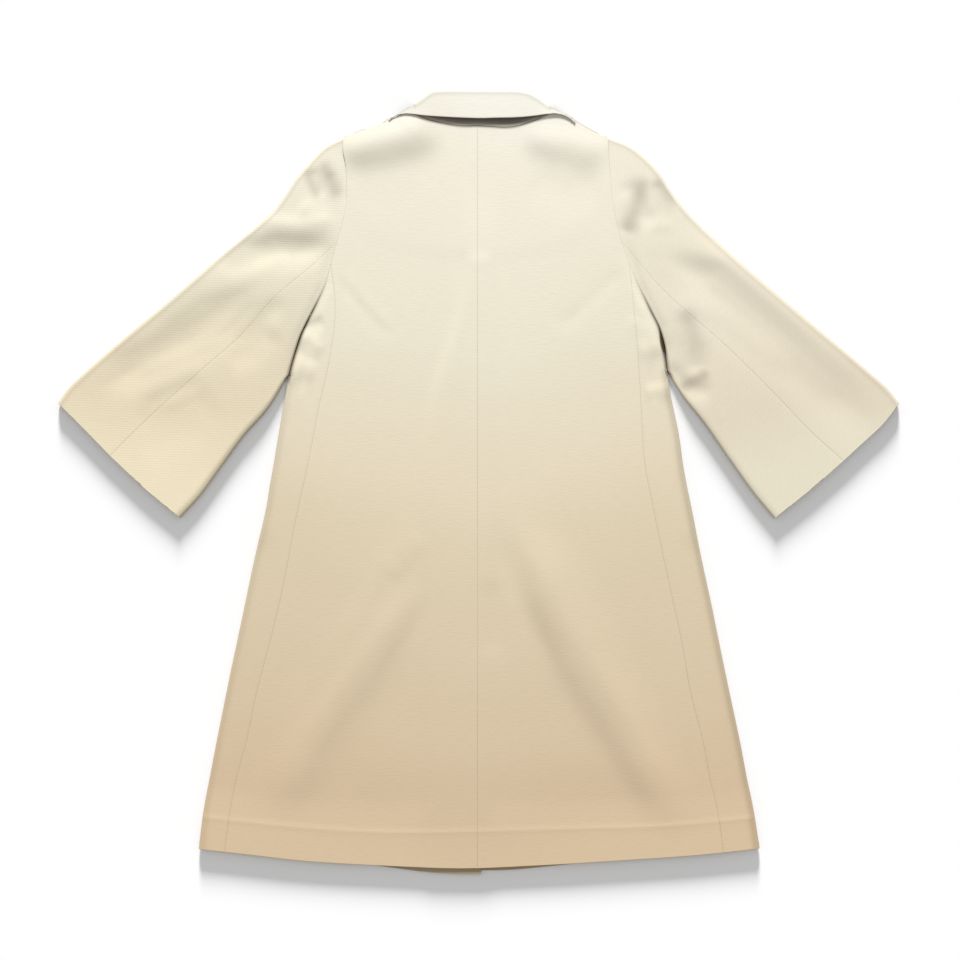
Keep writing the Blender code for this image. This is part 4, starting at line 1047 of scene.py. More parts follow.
def fine_side(side, cloth):
    """An underarm panel: a flap on the back, the side fold, and a strip on the floor."""
    coarse, rows_above = side_plan(side)
    rows_at = finer(coarse.shape[0] - 1, BODY_PARTS)
    columns_at = finer(SIDE_CELLS, BODY_PARTS + 2)
    places = refined(coarse, rows_at, columns_at)
    fold_row = int(np.argmin(np.abs(rows_at - rows_above)))
    edge = places[fold_row:, -1].copy()
    cloth_side = inward(edge, MIDDLE_BACK)
    settle = edge - start_of_fold(edge, cloth_side, back_layer)
    shares = (columns_at / SIDE_CELLS)[None, :, None]
    places[fold_row:] -= settle[:, None] * shares ** 2
    places = snapped(places, "first", princess_fine(side))
    places[:fold_row] = snapped(places[:fold_row], "last", armhole_line(side))
    seams = side_seams(places, fold_row, cloth)
    places = drawn_in(places, "first", cloth.seam_gap_mm / 2)
    places[:fold_row] = drawn_in(places[:fold_row], "last", arm_gap(side, places[:fold_row, -1, 1], cloth))
    flap = back_surface(places, seams)
    turned_off = SIDE_SHADE[side] * np.exp(-(from_border(places, "last") / SIDE_SHADE_MM) ** 2)
    seams.shade[fold_row:] = np.maximum(seams.shade, turned_off)[fold_row:]
    wall = FineWall(CLOTH, True, cloth.edge_round_mm)
    top = wall.add(flap, places, seams.shade, seams.round, turned_up(places))
    wall.weave(top)

    arc = fold_arc(edge, cloth_side, flap[fold_row:, -1, 2])
    steps = np.linspace(0.0, 1.0, arc.shape[1] + 2)[None, 1:-1, None]
    arc_grain = places[fold_row:, -1:] - cloth_side[:, None] * steps * ARC_WIDTH_MM
    notch = np.maximum(under_arm(edge), SIDE_SHADE[side])[:, None]
    arc_numbers = wall.add(arc, arc_grain, notch, None, turned_up(edge)[:, None])

    under = front_seam_line(side)
    under = refined(under[:, None].repeat(2, axis=1), rows_at[fold_row:] - rows_at[fold_row], [0.0])[:, 0]
    columns = finer(SIDE_UNDER_CELLS, FRONT_PARTS)[None, :, None] / SIDE_UNDER_CELLS
    strip_places = places[fold_row:, -1:] * (1 - columns) + under[:, None] * columns
    strip = on_floor(strip_places)
    strip_grain = arc_grain[:, -1:] + (strip_places - strip_places[:, :1])
    strip_numbers = wall.add(strip, strip_grain, 0.0, None, turned_up(strip_places))
    wall.weave(np.hstack([top[fold_row:, -1:], arc_numbers, strip_numbers]))
    whole = np.concatenate([flap[fold_row:], arc, strip], axis=1)
    return wall, (lengths_of(whole)[0], lengths_of(flap)[1])


def fine_front(side, cloth):
    """A front, face down on the floor, from the armhole and side seam to its free edge."""
    outer = np.concatenate([stations(side)[:-1], front_seam_line(side)])
    height = left_front_layer if side == "left" else floor_layer
    edge_table = FRONT_EDGE[side]
    foot = float(height_on(FRONT_HEM[side], edge_table[-1][1]))
    fractions = row_fractions(outer)
    top = np.concatenate([along(SHOULDER[side], even(FRONT_SHOULDER_CELLS))[:-1],
                          along(FRONT_NECK[side], even(FRONT_NECK_CELLS))])
    turn_up = float(height_on(TURN_UP_LINE, edge_table[-1][1]))
    upper = top[-1, 1] + fractions[:-3] / fractions[-4] * (turn_up - top[-1, 1])
    downs = np.concatenate([upper, [turn_up + HEM_STEP, (turn_up + foot) / 2, foot]])
    inner = line_at(edge_table, 1, downs)
    inner[0] = top[-1]
    columns = even(len(top) - 1)
    foot_x = outer[-1, 0] + (inner[-1, 0] - outer[-1, 0]) * columns
    bottom = np.column_stack([foot_x, height_on(FRONT_HEM[side], foot_x)])
    bottom[0], bottom[-1] = outer[-1], inner[-1]
    coarse = patch(fractions, columns, outer, inner, top, bottom)
    if side == "left":
        coarse = columns_at_lap(coarse)
    rows_at = finer(coarse.shape[0] - 1, FRONT_PARTS)
    grid = refined(coarse, rows_at, finer(coarse.shape[1] - 1, FRONT_PARTS + 1))
    grid = drawn_in(grid, "first", cloth.hidden_gap_mm / 2)
    x, down = grid[..., 0], grid[..., 1]
    pressed = turned_up(grid) * lapped(x, down)
    points = at_height(grid, height(x, down) - (pressed if side == "left" else 0.0))
    wall = FineWall(CLOTH, False, cloth.edge_round_mm)
    # painted shade inside the open armhole, and on the hem strip that shows below the back's hem
    within = inside_shade(grid, "first") * (1.0 - smoothstep(*INSIDE_END, down))
    below_back = FRONT_HEM_SHADE * smoothstep(-FRONT_HEM_SHADE_MM, 0.0, down - height_on(HEM, x))
    wall.weave(wall.add(points, grid, np.maximum(within, below_back), None, turned_up(grid) - pressed))
    return wall, lengths_of(points)


SLEEVE_AXIS = {"left": (-299.0, 282.0), "right": (299.0, 286.0)}     # from the armhole to the cuff


def sleeve_grain(side, places):
    """Places of a sleeve, measured across and along it."""
    axis = np.array(SLEEVE_AXIS[side]) / np.linalg.norm(SLEEVE_AXIS[side])
    across = np.array([axis[1], -axis[0]])
    return np.stack([places @ across, places @ axis], axis=-1)


def sleeve_fold(plan, rows_at, fold_at):
    """A sleeve's edge line, and the way into the cloth along it, which ends along armhole and cuff."""
    edge = refined(plan, rows_at, [float(fold_at)])[:, 0]
    beside = refined(plan, rows_at, [float(abs(fold_at - 1))])[:, 0]
    square = inward(edge, plan[len(plan) // 2, SLEEVE_SEAM_STATION])
    fractions = even(len(edge) - 1)
    between = (smoothstep(0.0, SLEEVE_FOLD_END, fractions)
               * (1.0 - smoothstep(1.0 - SLEEVE_FOLD_END, 1.0, fractions)))[:, None]
    across = beside - edge
    across /= np.linalg.norm(across, axis=1)[:, None]
    cloth_side = across * (1 - between) + square * between
    return edge, cloth_side / np.linalg.norm(cloth_side, axis=1)[:, None]


def fine_sleeve(side, part, cloth):
    """The top or the under sleeve: its upper layer, the fold along its edge, and its lower layer."""
    plan = sleeve_plan(side)
    seam, last = SLEEVE_SEAM_STATION, plan.shape[1] - 1
    rows_at = finer(plan.shape[0] - 1, SLEEVE_PARTS)
    upper_span = (0, seam) if part == "top" else (seam, last)
    lower_span = (0, FRONT_SLEEVE_STATION) if part == "top" else (FRONT_SLEEVE_STATION, last)
    fold_at = 0 if part == "top" else last
    edge, cloth_side = sleeve_fold(plan, rows_at, fold_at)
    start = start_of_fold(edge, cloth_side, sleeve_layer)

    def layer_places(span):
        cells = span[1] - span[0]
        places = refined(plan, rows_at, span[0] + finer(cells, SLEEVE_PARTS))
        if span[1] == fold_at:
            places = places[:, ::-1]
        shares = (finer(cells, SLEEVE_PARTS) / cells)[None, :, None]
        places = places + (start - places[:, 0])[:, None] * (1 - shares) ** 2
        return snapped(places, "top", armhole_line(side))

    above, below = layer_places(upper_span), layer_places(lower_span)
    seams = Seams(above, cloth)
    seams.sew("last", depth=cloth.sleeve_depth, shade=SLEEVE_SEAM_SHADE)
    sew_armhole(seams, "sleeve", "top")
    above = drawn_in(above, "last", cloth.seam_gap_mm / 2)
    above = drawn_in(above, "top", arm_gap(side, above[0, :, 1], cloth))
    below = drawn_in(below, "last", cloth.hidden_gap_mm / 2)
    below = drawn_in(below, "top", cloth.hidden_gap_mm / 2)
    upper = sleeve_surface(above, seams)
    lower = on_floor(below)
    arc = fold_arc(edge, cloth_side, upper[:, 0, 2])
    wall = FineWall(CLOTH, True, cloth.edge_round_mm)
    from_fold = from_border(above, "first")
    fold_shade = cloth.fold_shade if part == "top" else cloth.under_fold_shade * UNDER_FOLD_SHARE[side]
    turned_off = fold_shade * np.exp(-(from_fold / cloth.fold_shade_mm) ** 2)
    notch = 0.0 if part == "top" else under_arm(edge)[:, None]
    beside_notch = notch * np.exp(-(from_fold / UNDERARM_SIDE_MM) ** 2)
    shade = np.maximum(seams.shade, np.maximum(turned_off, beside_notch))
    above_numbers = wall.add(upper, sleeve_grain(side, above), shade, seams.round)
    arc_numbers = wall.add(arc, sleeve_grain(side, arc[..., :2]), np.maximum(fold_shade, notch))
    below_numbers = wall.add(lower, sleeve_grain(side, below), inside_shade(below, "top"))
    wall.weave(np.hstack([above_numbers[:, ::-1], arc_numbers, below_numbers]))
    return wall, lengths_of(np.concatenate([upper[:, ::-1], arc, lower], axis=1))


def fine_collar(upper, cloth):
    """The upper or the under collar behind the neck: the stand, the roll and the fall turned over it."""
    depth = 0.0 if upper else COLLAR_CLOTH + COLLAR_AIR
    radius = ROLL_OUTER - depth
    cells = COLLAR_CELLS * COLLAR_PARTS
    flat_cells = COLLAR_FLAT_CELLS * COLLAR_PARTS
    columns = even(cells)
    roll = along(ROLL_LINE, columns)
    edge = along(FALL_EDGE, columns)
    roll_in = inward(roll, BELOW_NECK)
    stand_start = roll + roll_in * (COLLAR_CLOTH / 2 + ROLL_OUTER)
    rolled = slice(flat_cells, cells + 1 - flat_cells)
    fall_start = roll + roll_in * COLLAR_CLOTH / 2
    fall_start[rolled] = stand_start[rolled]
    share = np.sin(math.pi * columns)
    roll_height = COLLAR_END_HEIGHT + (ROLL_HEIGHT - COLLAR_END_HEIGHT) * share
    edge_height = COLLAR_END_HEIGHT + (FALL_EDGE_HEIGHT - COLLAR_END_HEIGHT) * share
    rows = even(FALL_CELLS * COLLAR_PARTS)[:, None]
    fall = np.zeros((len(rows), cells + 1, 3))
    fall[..., :2] = fall_start * (1 - rows[..., None]) + edge * rows[..., None]
    fall[..., 2] = roll_height * (1 - rows) + edge_height * rows - depth

    centre_height = roll_height - ROLL_OUTER
    turns = []
    for angle in np.linspace(math.pi / 2, -math.pi / 2, 2 * ROLL_CELLS + 3)[1:-1]:
        flat = stand_start - roll_in * radius * math.cos(angle)
        turns.append(np.column_stack([flat, centre_height + radius * math.sin(angle)])[rolled])
    turns = np.stack(turns)

    half = even(BACK_NECK_CELLS * COLLAR_PARTS)
    neck = [along(BACK_NECK[side], half) for side in ("left", "right")]
    neck = np.concatenate([neck[0], neck[1][-2::-1]])
    neck = (neck - inward(neck, BELOW_NECK) * SEAM_GAP)[rolled]
    seam_height = back_layer(neck[:, 0], neck[:, 1]) + (CLOTH - COLLAR_CLOTH) / 2
    if upper:
        seam_height = seam_height - COLLAR_CLOTH - COLLAR_AIR
    foot = np.column_stack([neck, seam_height])
    head = np.column_stack([stand_start, centre_height - radius])[rolled]
    stand_rows = even(FALL_CELLS * STAND_PARTS)[:, None, None]
    stand = head * (1 - stand_rows) + foot * stand_rows

    wall = FineWall(COLLAR_CLOTH, True, cloth.edge_round_mm)
    near_roll = np.linalg.norm(fall[..., :2] - fall[:1, :, :2], axis=-1)
    fall_shade = ROLL_SHADE * np.exp(-(near_roll / ROLL_SHADE_MM) ** 2) if upper else STAND_SHADE
    near_foot = np.linalg.norm(stand[..., :2] - foot[None, :, :2], axis=-1)
    to_foot = np.exp(-(near_foot / STAND_SHADE_MM) ** 2)
    stand_shade = STAND_SHADE + (STAND_SHADE_FOOT - STAND_SHADE) * to_foot
    fall_numbers = wall.add(fall, fall[..., :2], fall_shade)
    turn_numbers = wall.add(turns, turns[..., :2], ROLL_SHADE)
    stand_numbers = wall.add(stand, stand[..., :2], stand_shade)
    wall.weave(fall_numbers)
    wall.weave(np.vstack([fall_numbers[:1, rolled], turn_numbers, stand_numbers[:1]])[::-1])
    wall.weave(stand_numbers[::-1])
    whole = np.concatenate([fall[:, rolled][::-1], turns, stand])
    return wall, (lengths_of(fall)[0], lengths_of(whole)[1])


def fine_collar_front(side, cloth):
    """A collar end, both layers in one, flat on the floor under the front's neckline."""
    table = np.array(COLLAR_FRONT[side], float)
    coarse = np.stack([table[:, :2], table[:, 2:]])
    places = refined(coarse, even(COLLAR_END_CELLS), finer(len(table) - 1, FRONT_PARTS))
    points = on_floor(places, COLLAR_END_CLOTH)
    wall = FineWall(COLLAR_END_CLOTH, True, cloth.edge_round_mm)
    wall.weave(wall.add(points, places))
    return wall, lengths_of(points)


# ---- colour and cloth -------------------------------------------------------------------------------
# colours on the way from the collar (0) to the hem (1), for the body and for each sleeve: darker and warmer
# towards the hem
GRADES = {
    "body": (
        {"place": 0.00, "colour": "#dedcd3"},
        {"place": 0.10, "colour": "#dad4c3"},
        {"place": 0.33, "colour": "#d2ccb8"},
        {"place": 0.46, "colour": "#cec3ad"},
        {"place": 0.58, "colour": "#c6b99f"},
        {"place": 0.93, "colour": "#bda88c"},
        {"place": 1.00, "colour": "#c0ab8d"},
    ),
    "sleeve_left": (
        {"place": 0.10, "colour": "#dad4c3"},
        {"place": 0.25, "colour": "#d5ceba"},
        {"place": 0.34, "colour": "#cec6b0"},
        {"place": 0.40, "colour": "#ccc1a9"},
        {"place": 0.47, "colour": "#ccc0a6"},
        {"place": 0.56, "colour": "#d5c9ae"},
    ),
    "sleeve_right": (
        {"place": 0.10, "colour": "#dad4c3"},
        {"place": 0.25, "colour": "#d5ceba"},
        {"place": 0.34, "colour": "#d0c8b5"},
        {"place": 0.40, "colour": "#cec5b1"},
        {"place": 0.47, "colour": "#cac0ac"},
        {"place": 0.56, "colour": "#cec7b2"},
    ),
}
GRADE_SPAN = (-0.51, 0.60)          # the ramp runs from the collar to the hem, metres below the origin


def grade_of(node):
    """The colour ramp of a node's cloth."""
    return next((stops for part, stops in GRADES.items() if node.startswith(part)), GRADES["body"])


def linear(hex_colour):
    """An sRGB hex colour as linear red, green, blue and alpha."""
    parts = [int(hex_colour[k:k + 2], 16) / 255 for k in (1, 3, 5)]
    return tuple(c / 12.92 if c <= 0.04045 else ((c + 0.055) / 1.055) ** 2.4 for c in parts) + (1.0,)


def add_node(tree, kind, settings=None, values=None, links=None):
    """Add a shader node with its settings, its fixed input values and its incoming links."""
    node = tree.nodes.new(kind)
    for name, value in (settings or {}).items():
        setattr(node, name, value)
    for name, value in (values or {}).items():
        node.inputs[name].default_value = value
    for name, socket in (links or {}).items():
        tree.links.new(socket, node.inputs[name])
    return node


def set_stops(node, stops):
    """Set a colour ramp's stops."""
    elements = node.color_ramp.elements
    while len(elements) > 1:
        elements.remove(elements[-1])
    elements[0].position, elements[0].color = stops[0]["place"], linear(stops[0]["colour"])
    for stop in stops[1:]:
        elements.new(stop["place"]).color = linear(stop["colour"])


def wool_twill(name, look, brightness, stops):
    """Brushed wool twill: matt, with a faint slanting wale, crosswise threads, a soft short nap, and painted
    shade where its in_shade attribute says.
    """
    material = bpy.data.materials.new(name)
    material.use_nodes = True
    tree = material.node_tree
    tree.nodes.clear()
    place = add_node(tree, "ShaderNodeTexCoord")
    grain = add_node(tree, "ShaderNodeAttribute", {"attribute_name": "grain_mm"})
    shade = add_node(tree, "ShaderNodeAttribute", {"attribute_name": "in_shade"})

    # the colour goes darker and warmer, from ivory at the collar to sand at the hem and the cuffs
    split = add_node(tree, "ShaderNodeSeparateXYZ", links={"Vector": place.outputs["Object"]})
    aside = add_node(tree, "ShaderNodeMath", {"operation": "ABSOLUTE"}, links={0: split.outputs["X"]})
    down = add_node(tree, "ShaderNodeMath", {"operation": "MULTIPLY_ADD"}, {1: -1.0, 2: 0.0},
                    {0: split.outputs["Y"]})
    both = add_node(tree, "ShaderNodeMath", {"operation": "MULTIPLY_ADD"}, {1: look.grade_aside},
                    {0: aside.outputs[0], 2: down.outputs[0]})
    cloud = add_node(tree, "ShaderNodeTexNoise", {"noise_dimensions": "2D"}, {"Scale": 5.0, "Detail": 1.0},
                     {"Vector": place.outputs["Object"]})
    drift = add_node(tree, "ShaderNodeMath", {"operation": "MULTIPLY_ADD"}, {1: 0.08},
                     {0: cloud.outputs["Fac"], 2: both.outputs[0]})
    share = add_node(tree, "ShaderNodeMapRange", {"clamp": True},
                     dict(zip(("From Min", "From Max"), GRADE_SPAN)), {"Value": drift.outputs[0]})
    grade = add_node(tree, "ShaderNodeValToRGB", links={"Fac": share.outputs["Result"]})
    set_stops(grade, stops)

    # twill wale: slanting ridges, drawn wider apart than the real 1.2 mm so that they show
    wale = add_node(tree, "ShaderNodeTexWave", {"wave_type": "BANDS", "bands_direction": "DIAGONAL"},
                    {"Scale": 2 * math.pi / (10 * look.wale_mm * math.sqrt(2)), "Distortion": 3.0,
                     "Detail": 1.0, "Detail Scale": 0.6},
                    {"Vector": grain.outputs["Vector"]})
    # crosswise threads, a little uneven in thickness
    lie = add_node(tree, "ShaderNodeMapping", values={"Scale": (0.07, 1.0 / look.thread_mm, 1.0)},
                   links={"Vector": grain.outputs["Vector"]})
    thread = add_node(tree, "ShaderNodeTexNoise", {"noise_dimensions": "2D"}, {"Scale": 1.0, "Detail": 2.0},
                      {"Vector": lie.outputs["Vector"]})
    # the nap: short soft fibres
    nap = add_node(tree, "ShaderNodeTexNoise", {"noise_dimensions": "2D"}, {"Scale": 0.7, "Detail": 2.0},
                   {"Vector": grain.outputs["Vector"]})
    woven = add_node(tree, "ShaderNodeMath", {"operation": "MULTIPLY_ADD"}, {1: 0.55},
                     {0: wale.outputs["Fac"], 2: thread.outputs["Fac"]})
    relief = add_node(tree, "ShaderNodeMath", {"operation": "MULTIPLY_ADD"}, {1: 0.6},
                      {0: nap.outputs["Fac"], 2: woven.outputs[0]})
    bump = add_node(tree, "ShaderNodeBump", values={"Strength": look.relief, "Distance": 0.0004},
                    links={"Height": relief.outputs[0]})

    # threads that stand up are a little paler
    tone = add_node(tree, "ShaderNodeMapRange", {"clamp": True},
                    {"From Min": 0.55, "From Max": 1.4, "To Min": brightness * (1.0 - look.contrast),
                     "To Max": brightness * (1.0 + look.contrast)},
                    {"Value": relief.outputs[0]})
    lit = add_node(tree, "ShaderNodeVectorMath", {"operation": "SCALE"},
                   links={"Vector": grade.outputs["Color"], "Scale": tone.outputs["Result"]})
    # painted shade: deep in a crease, in the seams and between the collar and the neck, the colour is mixed
    # towards a dark brown by the in_shade attribute
    colour = add_node(tree, "ShaderNodeMix", {"data_type": "RGBA"}, {7: linear(look.deep_shade)},
                      {0: shade.outputs["Fac"], 6: lit.outputs["Vector"]})
    wool = add_node(tree, "ShaderNodeBsdfPrincipled", values={
        "Roughness": 0.92, "Specular IOR Level": 0.2, "Sheen Weight": 0.12, "Sheen Roughness": 0.5,
    }, links={"Base Color": colour.outputs[2], "Normal": bump.outputs["Normal"]})
    add_node(tree, "ShaderNodeOutputMaterial", links={"Surface": wool.outputs["BSDF"]})
    return material


def table_paper(name, hex_colour):
    """Matt white studio paper: even and clean, with no gloss."""
    material = bpy.data.materials.new(name)
    material.use_nodes = True
    shader = next(node for node in material.node_tree.nodes if node.type == "BSDF_PRINCIPLED")
    shader.inputs["Base Color"].default_value = linear(hex_colour)
    shader.inputs["Roughness"].default_value = 1.0
    shader.inputs["Specular IOR Level"].default_value = 0.0
    return material


# ---- pieces in the model's frame --------------------------------------------------------------------
FROM_NAPE_MM = 498.4                # the frame's origin, measured down from the nape
FROM_CENTRE_SEAM_MM = 1.5           # and to the right from the centre back seam


def to_metres(corners):
    """Millimetres in the tailor's frame to metres in the model's frame, hem towards -Y."""
    return np.column_stack([corners[:, 0] - FROM_CENTRE_SEAM_MM, FROM_NAPE_MM - corners[:, 1],
                            corners[:, 2]]) * 0.001


def enclosed(corners, faces):
    """Signed volume times six: positive when the faces point out."""
    a, b, c, d = (corners[faces[:, k]] for k in range(4))
    return float(np.sum(a * np.cross(b, c)) + np.sum(a * np.cross(c, d)))


def lay_piece(name, wall, size, slot, look):
    """Make a cloth wall an object in the place of its solid."""
    corners, faces, grain, shade = wall.solid()
    corners = to_metres(corners)
    if enclosed(corners, faces) < 0:
        faces = faces[:, ::-1]
    mesh = bpy.data.meshes.new(name)
    mesh.from_pydata(corners.tolist(), [], faces.tolist())
    mesh.attributes.new("grain_mm", "FLOAT_VECTOR", "POINT").data.foreach_set(
        "vector", np.column_stack([grain, np.zeros(len(grain))]).astype(np.float32).reshape(-1))
    mesh.attributes.new("in_shade", "FLOAT", "POINT").data.foreach_set("value", shade.astype(np.float32))
    node = name.removesuffix("_cloth")
    # painted shade: the collar's colour is made darker because its roll and fall face the light more than the
    # body does
    tone = look.collar_tone if slot == "collar_wool" else 1.0
    mesh.materials.append(wool_twill(name + "_brushed_wool", look, tone, grade_of(node)))
    mesh.shade_smooth()
    piece = bpy.data.objects.new(name, mesh)
    bpy.context.scene.collection.objects.link(piece)
    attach(piece, "root")
    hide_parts(node)
    min(wall.cut(), size[0] * size[1])


# ---- what a user can change -------------------------------------------------------------------------
class CoatCloth(bpy.types.PropertyGroup):
    """Sizes of the cloth's seams and edges."""
    seam_gap_mm: bpy.props.FloatProperty(
        name="Seam gap", description="Air between two panels at a seam that shows, millimetres", default=0.05,
        min=0.01)
    hidden_gap_mm: bpy.props.FloatProperty(
        name="Hidden gap", description="Air between two panels at a seam below, millimetres", default=0.3,
        min=0.05)
    seam_depth_mm: bpy.props.FloatProperty(
        name="Seam depth", description="How far a pressed seam sinks, millimetres", default=0.16, min=0.0)
    seam_width_mm: bpy.props.FloatProperty(
        name="Seam width", description="Half the width of a pressed seam's groove, millimetres", default=1.5,
        min=0.2)
    seam_round_mm: bpy.props.FloatProperty(
        name="Seam round", description="How far the cloth rounds over at a seam, millimetres", default=0.08,
        min=0.01)
    # painted shade in the seams
    seam_shade: bpy.props.FloatProperty(
        name="Seam shade", description="How much darker the cloth is in a seam", default=0.03, min=0.0,
        max=1.0)
    princess_depth: bpy.props.FloatProperty(
        name="Princess seam", description="Depth of the two long back seams, of a seam's depth", default=1.2)
    sleeve_depth: bpy.props.FloatProperty(
        name="Sleeve seam", description="Depth of the sleeves' back seams, of a seam's depth", default=0.6)
    # painted shade along the sleeves' folds, where the turned edge would show too bright
    fold_shade: bpy.props.FloatProperty(
        name="Fold shade", description="How much darker the sleeve is where it turns over its top fold",
        default=0.12, min=0.0, max=1.0)
    under_fold_shade: bpy.props.FloatProperty(
        name="Under fold shade", description="The same along the sleeve's lower fold", default=0.26, min=0.0,
        max=1.0)
    fold_shade_mm: bpy.props.FloatProperty(
        name="Fold shade width", description="Width of that darker strip, millimetres", default=4.0, min=0.1)
    edge_round_mm: bpy.props.FloatProperty(
        name="Edge round", description="How far the cloth's edges round over, millimetres", default=0.6,
        min=0.1)


class CoatWool(bpy.types.PropertyGroup):
    """Looks of the wool."""
    grade_aside: bpy.props.FloatProperty(
        name="Grade aside", description="How much the colour also warms to the sides", default=0.2)
    wale_mm: bpy.props.FloatProperty(
        name="Wale", description="Distance between the twill's slanting ridges, millimetres", default=3.4,
        min=0.3)
    thread_mm: bpy.props.FloatProperty(
        name="Thread", description="Distance between crosswise threads, millimetres", default=2.2, min=0.3)
    relief: bpy.props.FloatProperty(
        name="Relief", description="How far the weave stands up", default=0.26, min=0.0, max=1.0)
    contrast: bpy.props.FloatProperty(
        name="Contrast", description="How much paler the raised threads are", default=0.03, min=0.0, max=0.5)
    deep_shade: bpy.props.StringProperty(
        name="Deep shade", description="Hex colour of the wool where no light reaches", default="#3d3018")
    # painted shade: the collar's colour is darkened because its roll and fall face the light more than the
    # body does
    collar_tone: bpy.props.FloatProperty(
        name="Collar tone", description="The collar's brightness as a share of the body's", default=0.93,
        min=0.0, max=1.5)


class CoatStage(bpy.types.PropertyGroup):
    """The table, the camera and the light."""
    table_side: bpy.props.FloatProperty(
        name="Table side", description="Side of the white table", default=30.0, unit="LENGTH")
    table_colour: bpy.props.StringProperty(
        name="Table colour", description="Hex colour of the studio paper", default="#f3f3f3")
    camera_height: bpy.props.FloatProperty(
        name="Camera height", description="Height of the camera over the coat", default=6.0, unit="LENGTH")
    view_width: bpy.props.FloatProperty(
        name="View width", description="Width of the table that the picture shows", default=1.344,
        unit="LENGTH")
    sky: bpy.props.FloatProperty(
        name="Sky", description="Strength of the even light from all round", default=0.52, min=0.0)
    coat_light: bpy.props.FloatProperty(
        name="Coat light", description="Strength of the soft light on the coat", default=4.4, min=0.0)
    coat_light_rise: bpy.props.FloatProperty(
        name="Coat light rise", description="How high the coat's light stands", default=math.radians(33),
        unit="ROTATION")
    table_light: bpy.props.FloatProperty(
        name="Table light", description="Strength of the low light on the table", default=8.8, min=0.0)
    table_fill: bpy.props.FloatProperty(
        name="Table fill", description="Strength of the light that softens the coat's shadow", default=0.12,
        min=0.0)
    table_light_rise: bpy.props.FloatProperty(
        name="Table light rise", description="How high the table's light stands", default=math.radians(11.5),
        unit="ROTATION")
    table_light_turn: bpy.props.FloatProperty(
        name="Table light turn", description="How far the table's light stands to the left of the collar",
        default=math.radians(1), unit="ROTATION")


# ---- operators --------------------------------------------------------------------------------------
def settings(context):
    """The coat's cloth sizes and its wool's looks."""
    return context.scene.coat_cloth, context.scene.coat_wool


class COAT_OT_backs(bpy.types.Operator):
    """Lay out the two backs, joined at the centre seam"""
    bl_idname = "coat.backs"
    bl_label = "Backs"

    def execute(self, context):
        cloth, look = settings(context)
        for side in ("left", "right"):
            wall, size = fine_back(side, cloth)
            lay_piece(f"back_{side}_cloth", wall, size, "coat_wool", look)
        return {"FINISHED"}


class COAT_OT_sides(bpy.types.Operator):
    """Lay out the two underarm panels round the side folds"""
    bl_idname = "coat.sides"
    bl_label = "Side panels"

    def execute(self, context):
        cloth, look = settings(context)
        for side in ("left", "right"):
            wall, size = fine_side(side, cloth)
            lay_piece(f"side_{side}_cloth", wall, size, "coat_wool", look)
        return {"FINISHED"}


class COAT_OT_fronts(bpy.types.Operator):
    """Lay out the two fronts, the left one lapping over the right one"""
    bl_idname = "coat.fronts"
    bl_label = "Fronts"

    def execute(self, context):
        cloth, look = settings(context)
        for side, under in (("left", ["floor", "front_right"]), ("right", ["floor"])):
            wall, size = fine_front(side, cloth)
            lay_piece(f"front_{side}_cloth", wall, size, "coat_wool", look)
        return {"FINISHED"}


class COAT_OT_sleeves(bpy.types.Operator):
    """Lay out the top and under sleeve of each arm"""
    bl_idname = "coat.sleeves"
    bl_label = "Sleeves"

    def execute(self, context):
        cloth, look = settings(context)
        for side in ("left", "right"):
            for part in ("top", "under"):
                wall, size = fine_sleeve(side, part, cloth)
                lay_piece(f"sleeve_{side}_{part}_cloth", wall, size, "coat_wool", look)
        return {"FINISHED"}


class COAT_OT_collar(bpy.types.Operator):
    """Turn the collar down over the neck, and lay its ends under the fronts"""
    bl_idname = "coat.collar"
    bl_label = "Collar"

    def execute(self, context):
        cloth, look = settings(context)
        for layer, under in (("upper", "collar_under"), ("under", "back_left")):
            wall, size = fine_collar(layer == "upper", cloth)
            lay_piece(f"collar_{layer}_cloth", wall, size, "collar_wool", look)
        for side in ("left", "right"):
            wall, size = fine_collar_front(side, cloth)
            lay_piece(f"collar_front_{side}_cloth", wall, size, "collar_wool", look)
        return {"FINISHED"}


TABLE_DROP = 0.0002                 # the table lies this far below the cloth, so that they don't coincide
PICTURE_CENTRE = (0.002, 0.0028)    # the place under the camera, metres from the frame's origin
SENSOR_MM = 36.0
SOFTNESS = {"coat_light": 14.0, "table_light": 10.0, "table_fill": 60.0}     # width of each light, degrees


def low_light(name, strength, rise, turn, receivers, blockers=()):
    """A soft light from beyond the collar, on the named things alone, shadowed by the blockers or by all."""
    lamp = bpy.data.lights.new(name, "SUN")
    lamp.energy, lamp.angle = strength, math.radians(SOFTNESS[name])
    thing = bpy.data.objects.new(name, lamp)
    thing.rotation_euler = (-(math.pi / 2 - rise), 0.0, turn)
    bpy.context.scene.collection.objects.link(thing)
    lit = bpy.data.collections.new(name + "_lights")
    for receiver in receivers:
        lit.objects.link(receiver)
    thing.light_linking.receiver_collection = lit
    if blockers:
        shading = bpy.data.collections.new(name + "_shades")
        for blocker in blockers:
            shading.objects.link(blocker)
        thing.light_linking.blocker_collection = shading


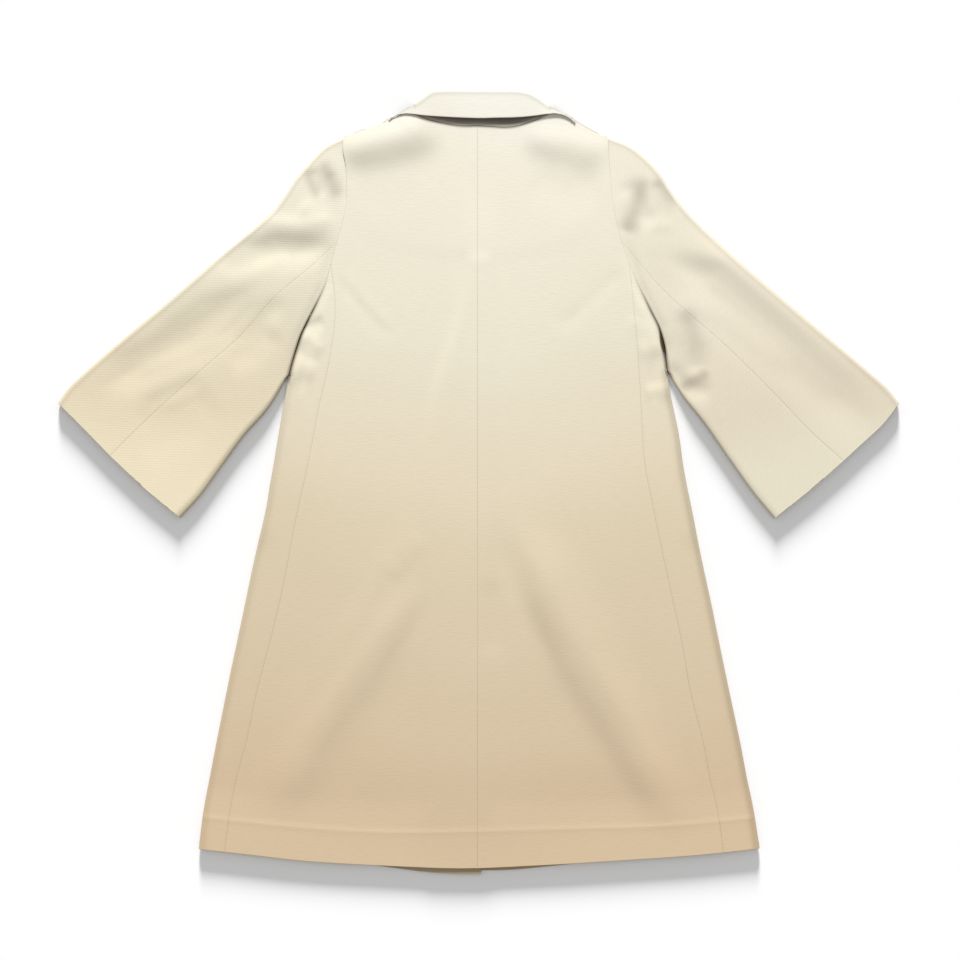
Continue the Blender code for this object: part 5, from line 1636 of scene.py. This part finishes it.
class COAT_OT_stage(bpy.types.Operator):
    """Set up the white table, the camera straight above and the soft studio light"""
    bl_idname = "coat.stage"
    bl_label = "Stage"

    def execute(self, context):
        stage = context.scene.coat_stage
        pieces = [thing for thing in context.scene.objects if thing.name.endswith("_cloth")]
        if not pieces:
            raise RuntimeError("the coat is laid out before its stage")
        bpy.ops.object.select_all(action="DESELECT")
        bpy.ops.mesh.primitive_plane_add(size=stage.table_side, location=(0, 0, -TABLE_DROP))
        table = context.object
        table.name = "table"
        table.data.transform(table.matrix_world)
        table.matrix_world.identity()
        table.data.materials.append(table_paper("white_studio_paper", stage.table_colour))
        lens = bpy.data.cameras.new("camera_above")
        lens.sensor_width = SENSOR_MM
        lens.lens = lens.sensor_width * stage.camera_height / stage.view_width
        lens.clip_end = 100.0
        camera = bpy.data.objects.new("camera_above", lens)
        camera.location = (*PICTURE_CENTRE, stage.camera_height)
        context.scene.collection.objects.link(camera)
        context.scene.camera = camera
        sky = bpy.data.worlds.new("even_light")
        sky.use_nodes = True
        background = next(node for node in sky.node_tree.nodes if node.type == "BACKGROUND")
        background.inputs["Color"].default_value = (1.0, 1.0, 1.0, 1.0)
        background.inputs["Strength"].default_value = stage.sky
        context.scene.world = sky
        low_light("coat_light", stage.coat_light, stage.coat_light_rise, 0.0, pieces)
        low_light("table_light", stage.table_light, stage.table_light_rise, stage.table_light_turn, [table])
        # straight down on the table alone, through the coat, so that the coat's shadow stays pale
        low_light("table_fill", stage.table_fill, math.radians(90), 0.0, [table], [table])
        context.scene.view_settings.view_transform = "Standard"
        return {"FINISHED"}


class COAT_PT_panel(bpy.types.Panel):
    """The coat's sizes, looks and pieces"""
    bl_idname = "COAT_PT_panel"
    bl_label = "Coat"
    bl_space_type = "VIEW_3D"
    bl_region_type = "UI"
    bl_category = "Coat"

    def draw(self, context):
        for group in (context.scene.coat_cloth, context.scene.coat_wool, context.scene.coat_stage):
            box = self.layout.box()
            for name in group.bl_rna.properties.keys():
                if name not in ("rna_type", "name"):
                    box.prop(group, name)
        for operator in STEPS:
            self.layout.operator(operator.bl_idname)


GROUPS = {"coat_cloth": CoatCloth, "coat_wool": CoatWool, "coat_stage": CoatStage}
STEPS = (COAT_OT_fronts, COAT_OT_sides, COAT_OT_backs, COAT_OT_sleeves, COAT_OT_collar, COAT_OT_stage)


def register():
    """Add the classes and the settings."""
    for kind in (*GROUPS.values(), *STEPS, COAT_PT_panel):
        bpy.utils.register_class(kind)
    for name, group in GROUPS.items():
        setattr(bpy.types.Scene, name, bpy.props.PointerProperty(type=group))


def unregister():
    """Take the settings and the classes away again."""
    for name in GROUPS:
        delattr(bpy.types.Scene, name)
    for kind in reversed((*GROUPS.values(), *STEPS, COAT_PT_panel)):
        bpy.utils.unregister_class(kind)


def main():
    """Lay out the coat and its stage."""
    register()
    bpy.ops.object.select_all(action="DESELECT")
    for lay_out in (bpy.ops.coat.fronts, bpy.ops.coat.sides, bpy.ops.coat.backs, bpy.ops.coat.sleeves,
                    bpy.ops.coat.collar, bpy.ops.coat.stage):
        lay_out()


if __name__ == "__main__":
    main()
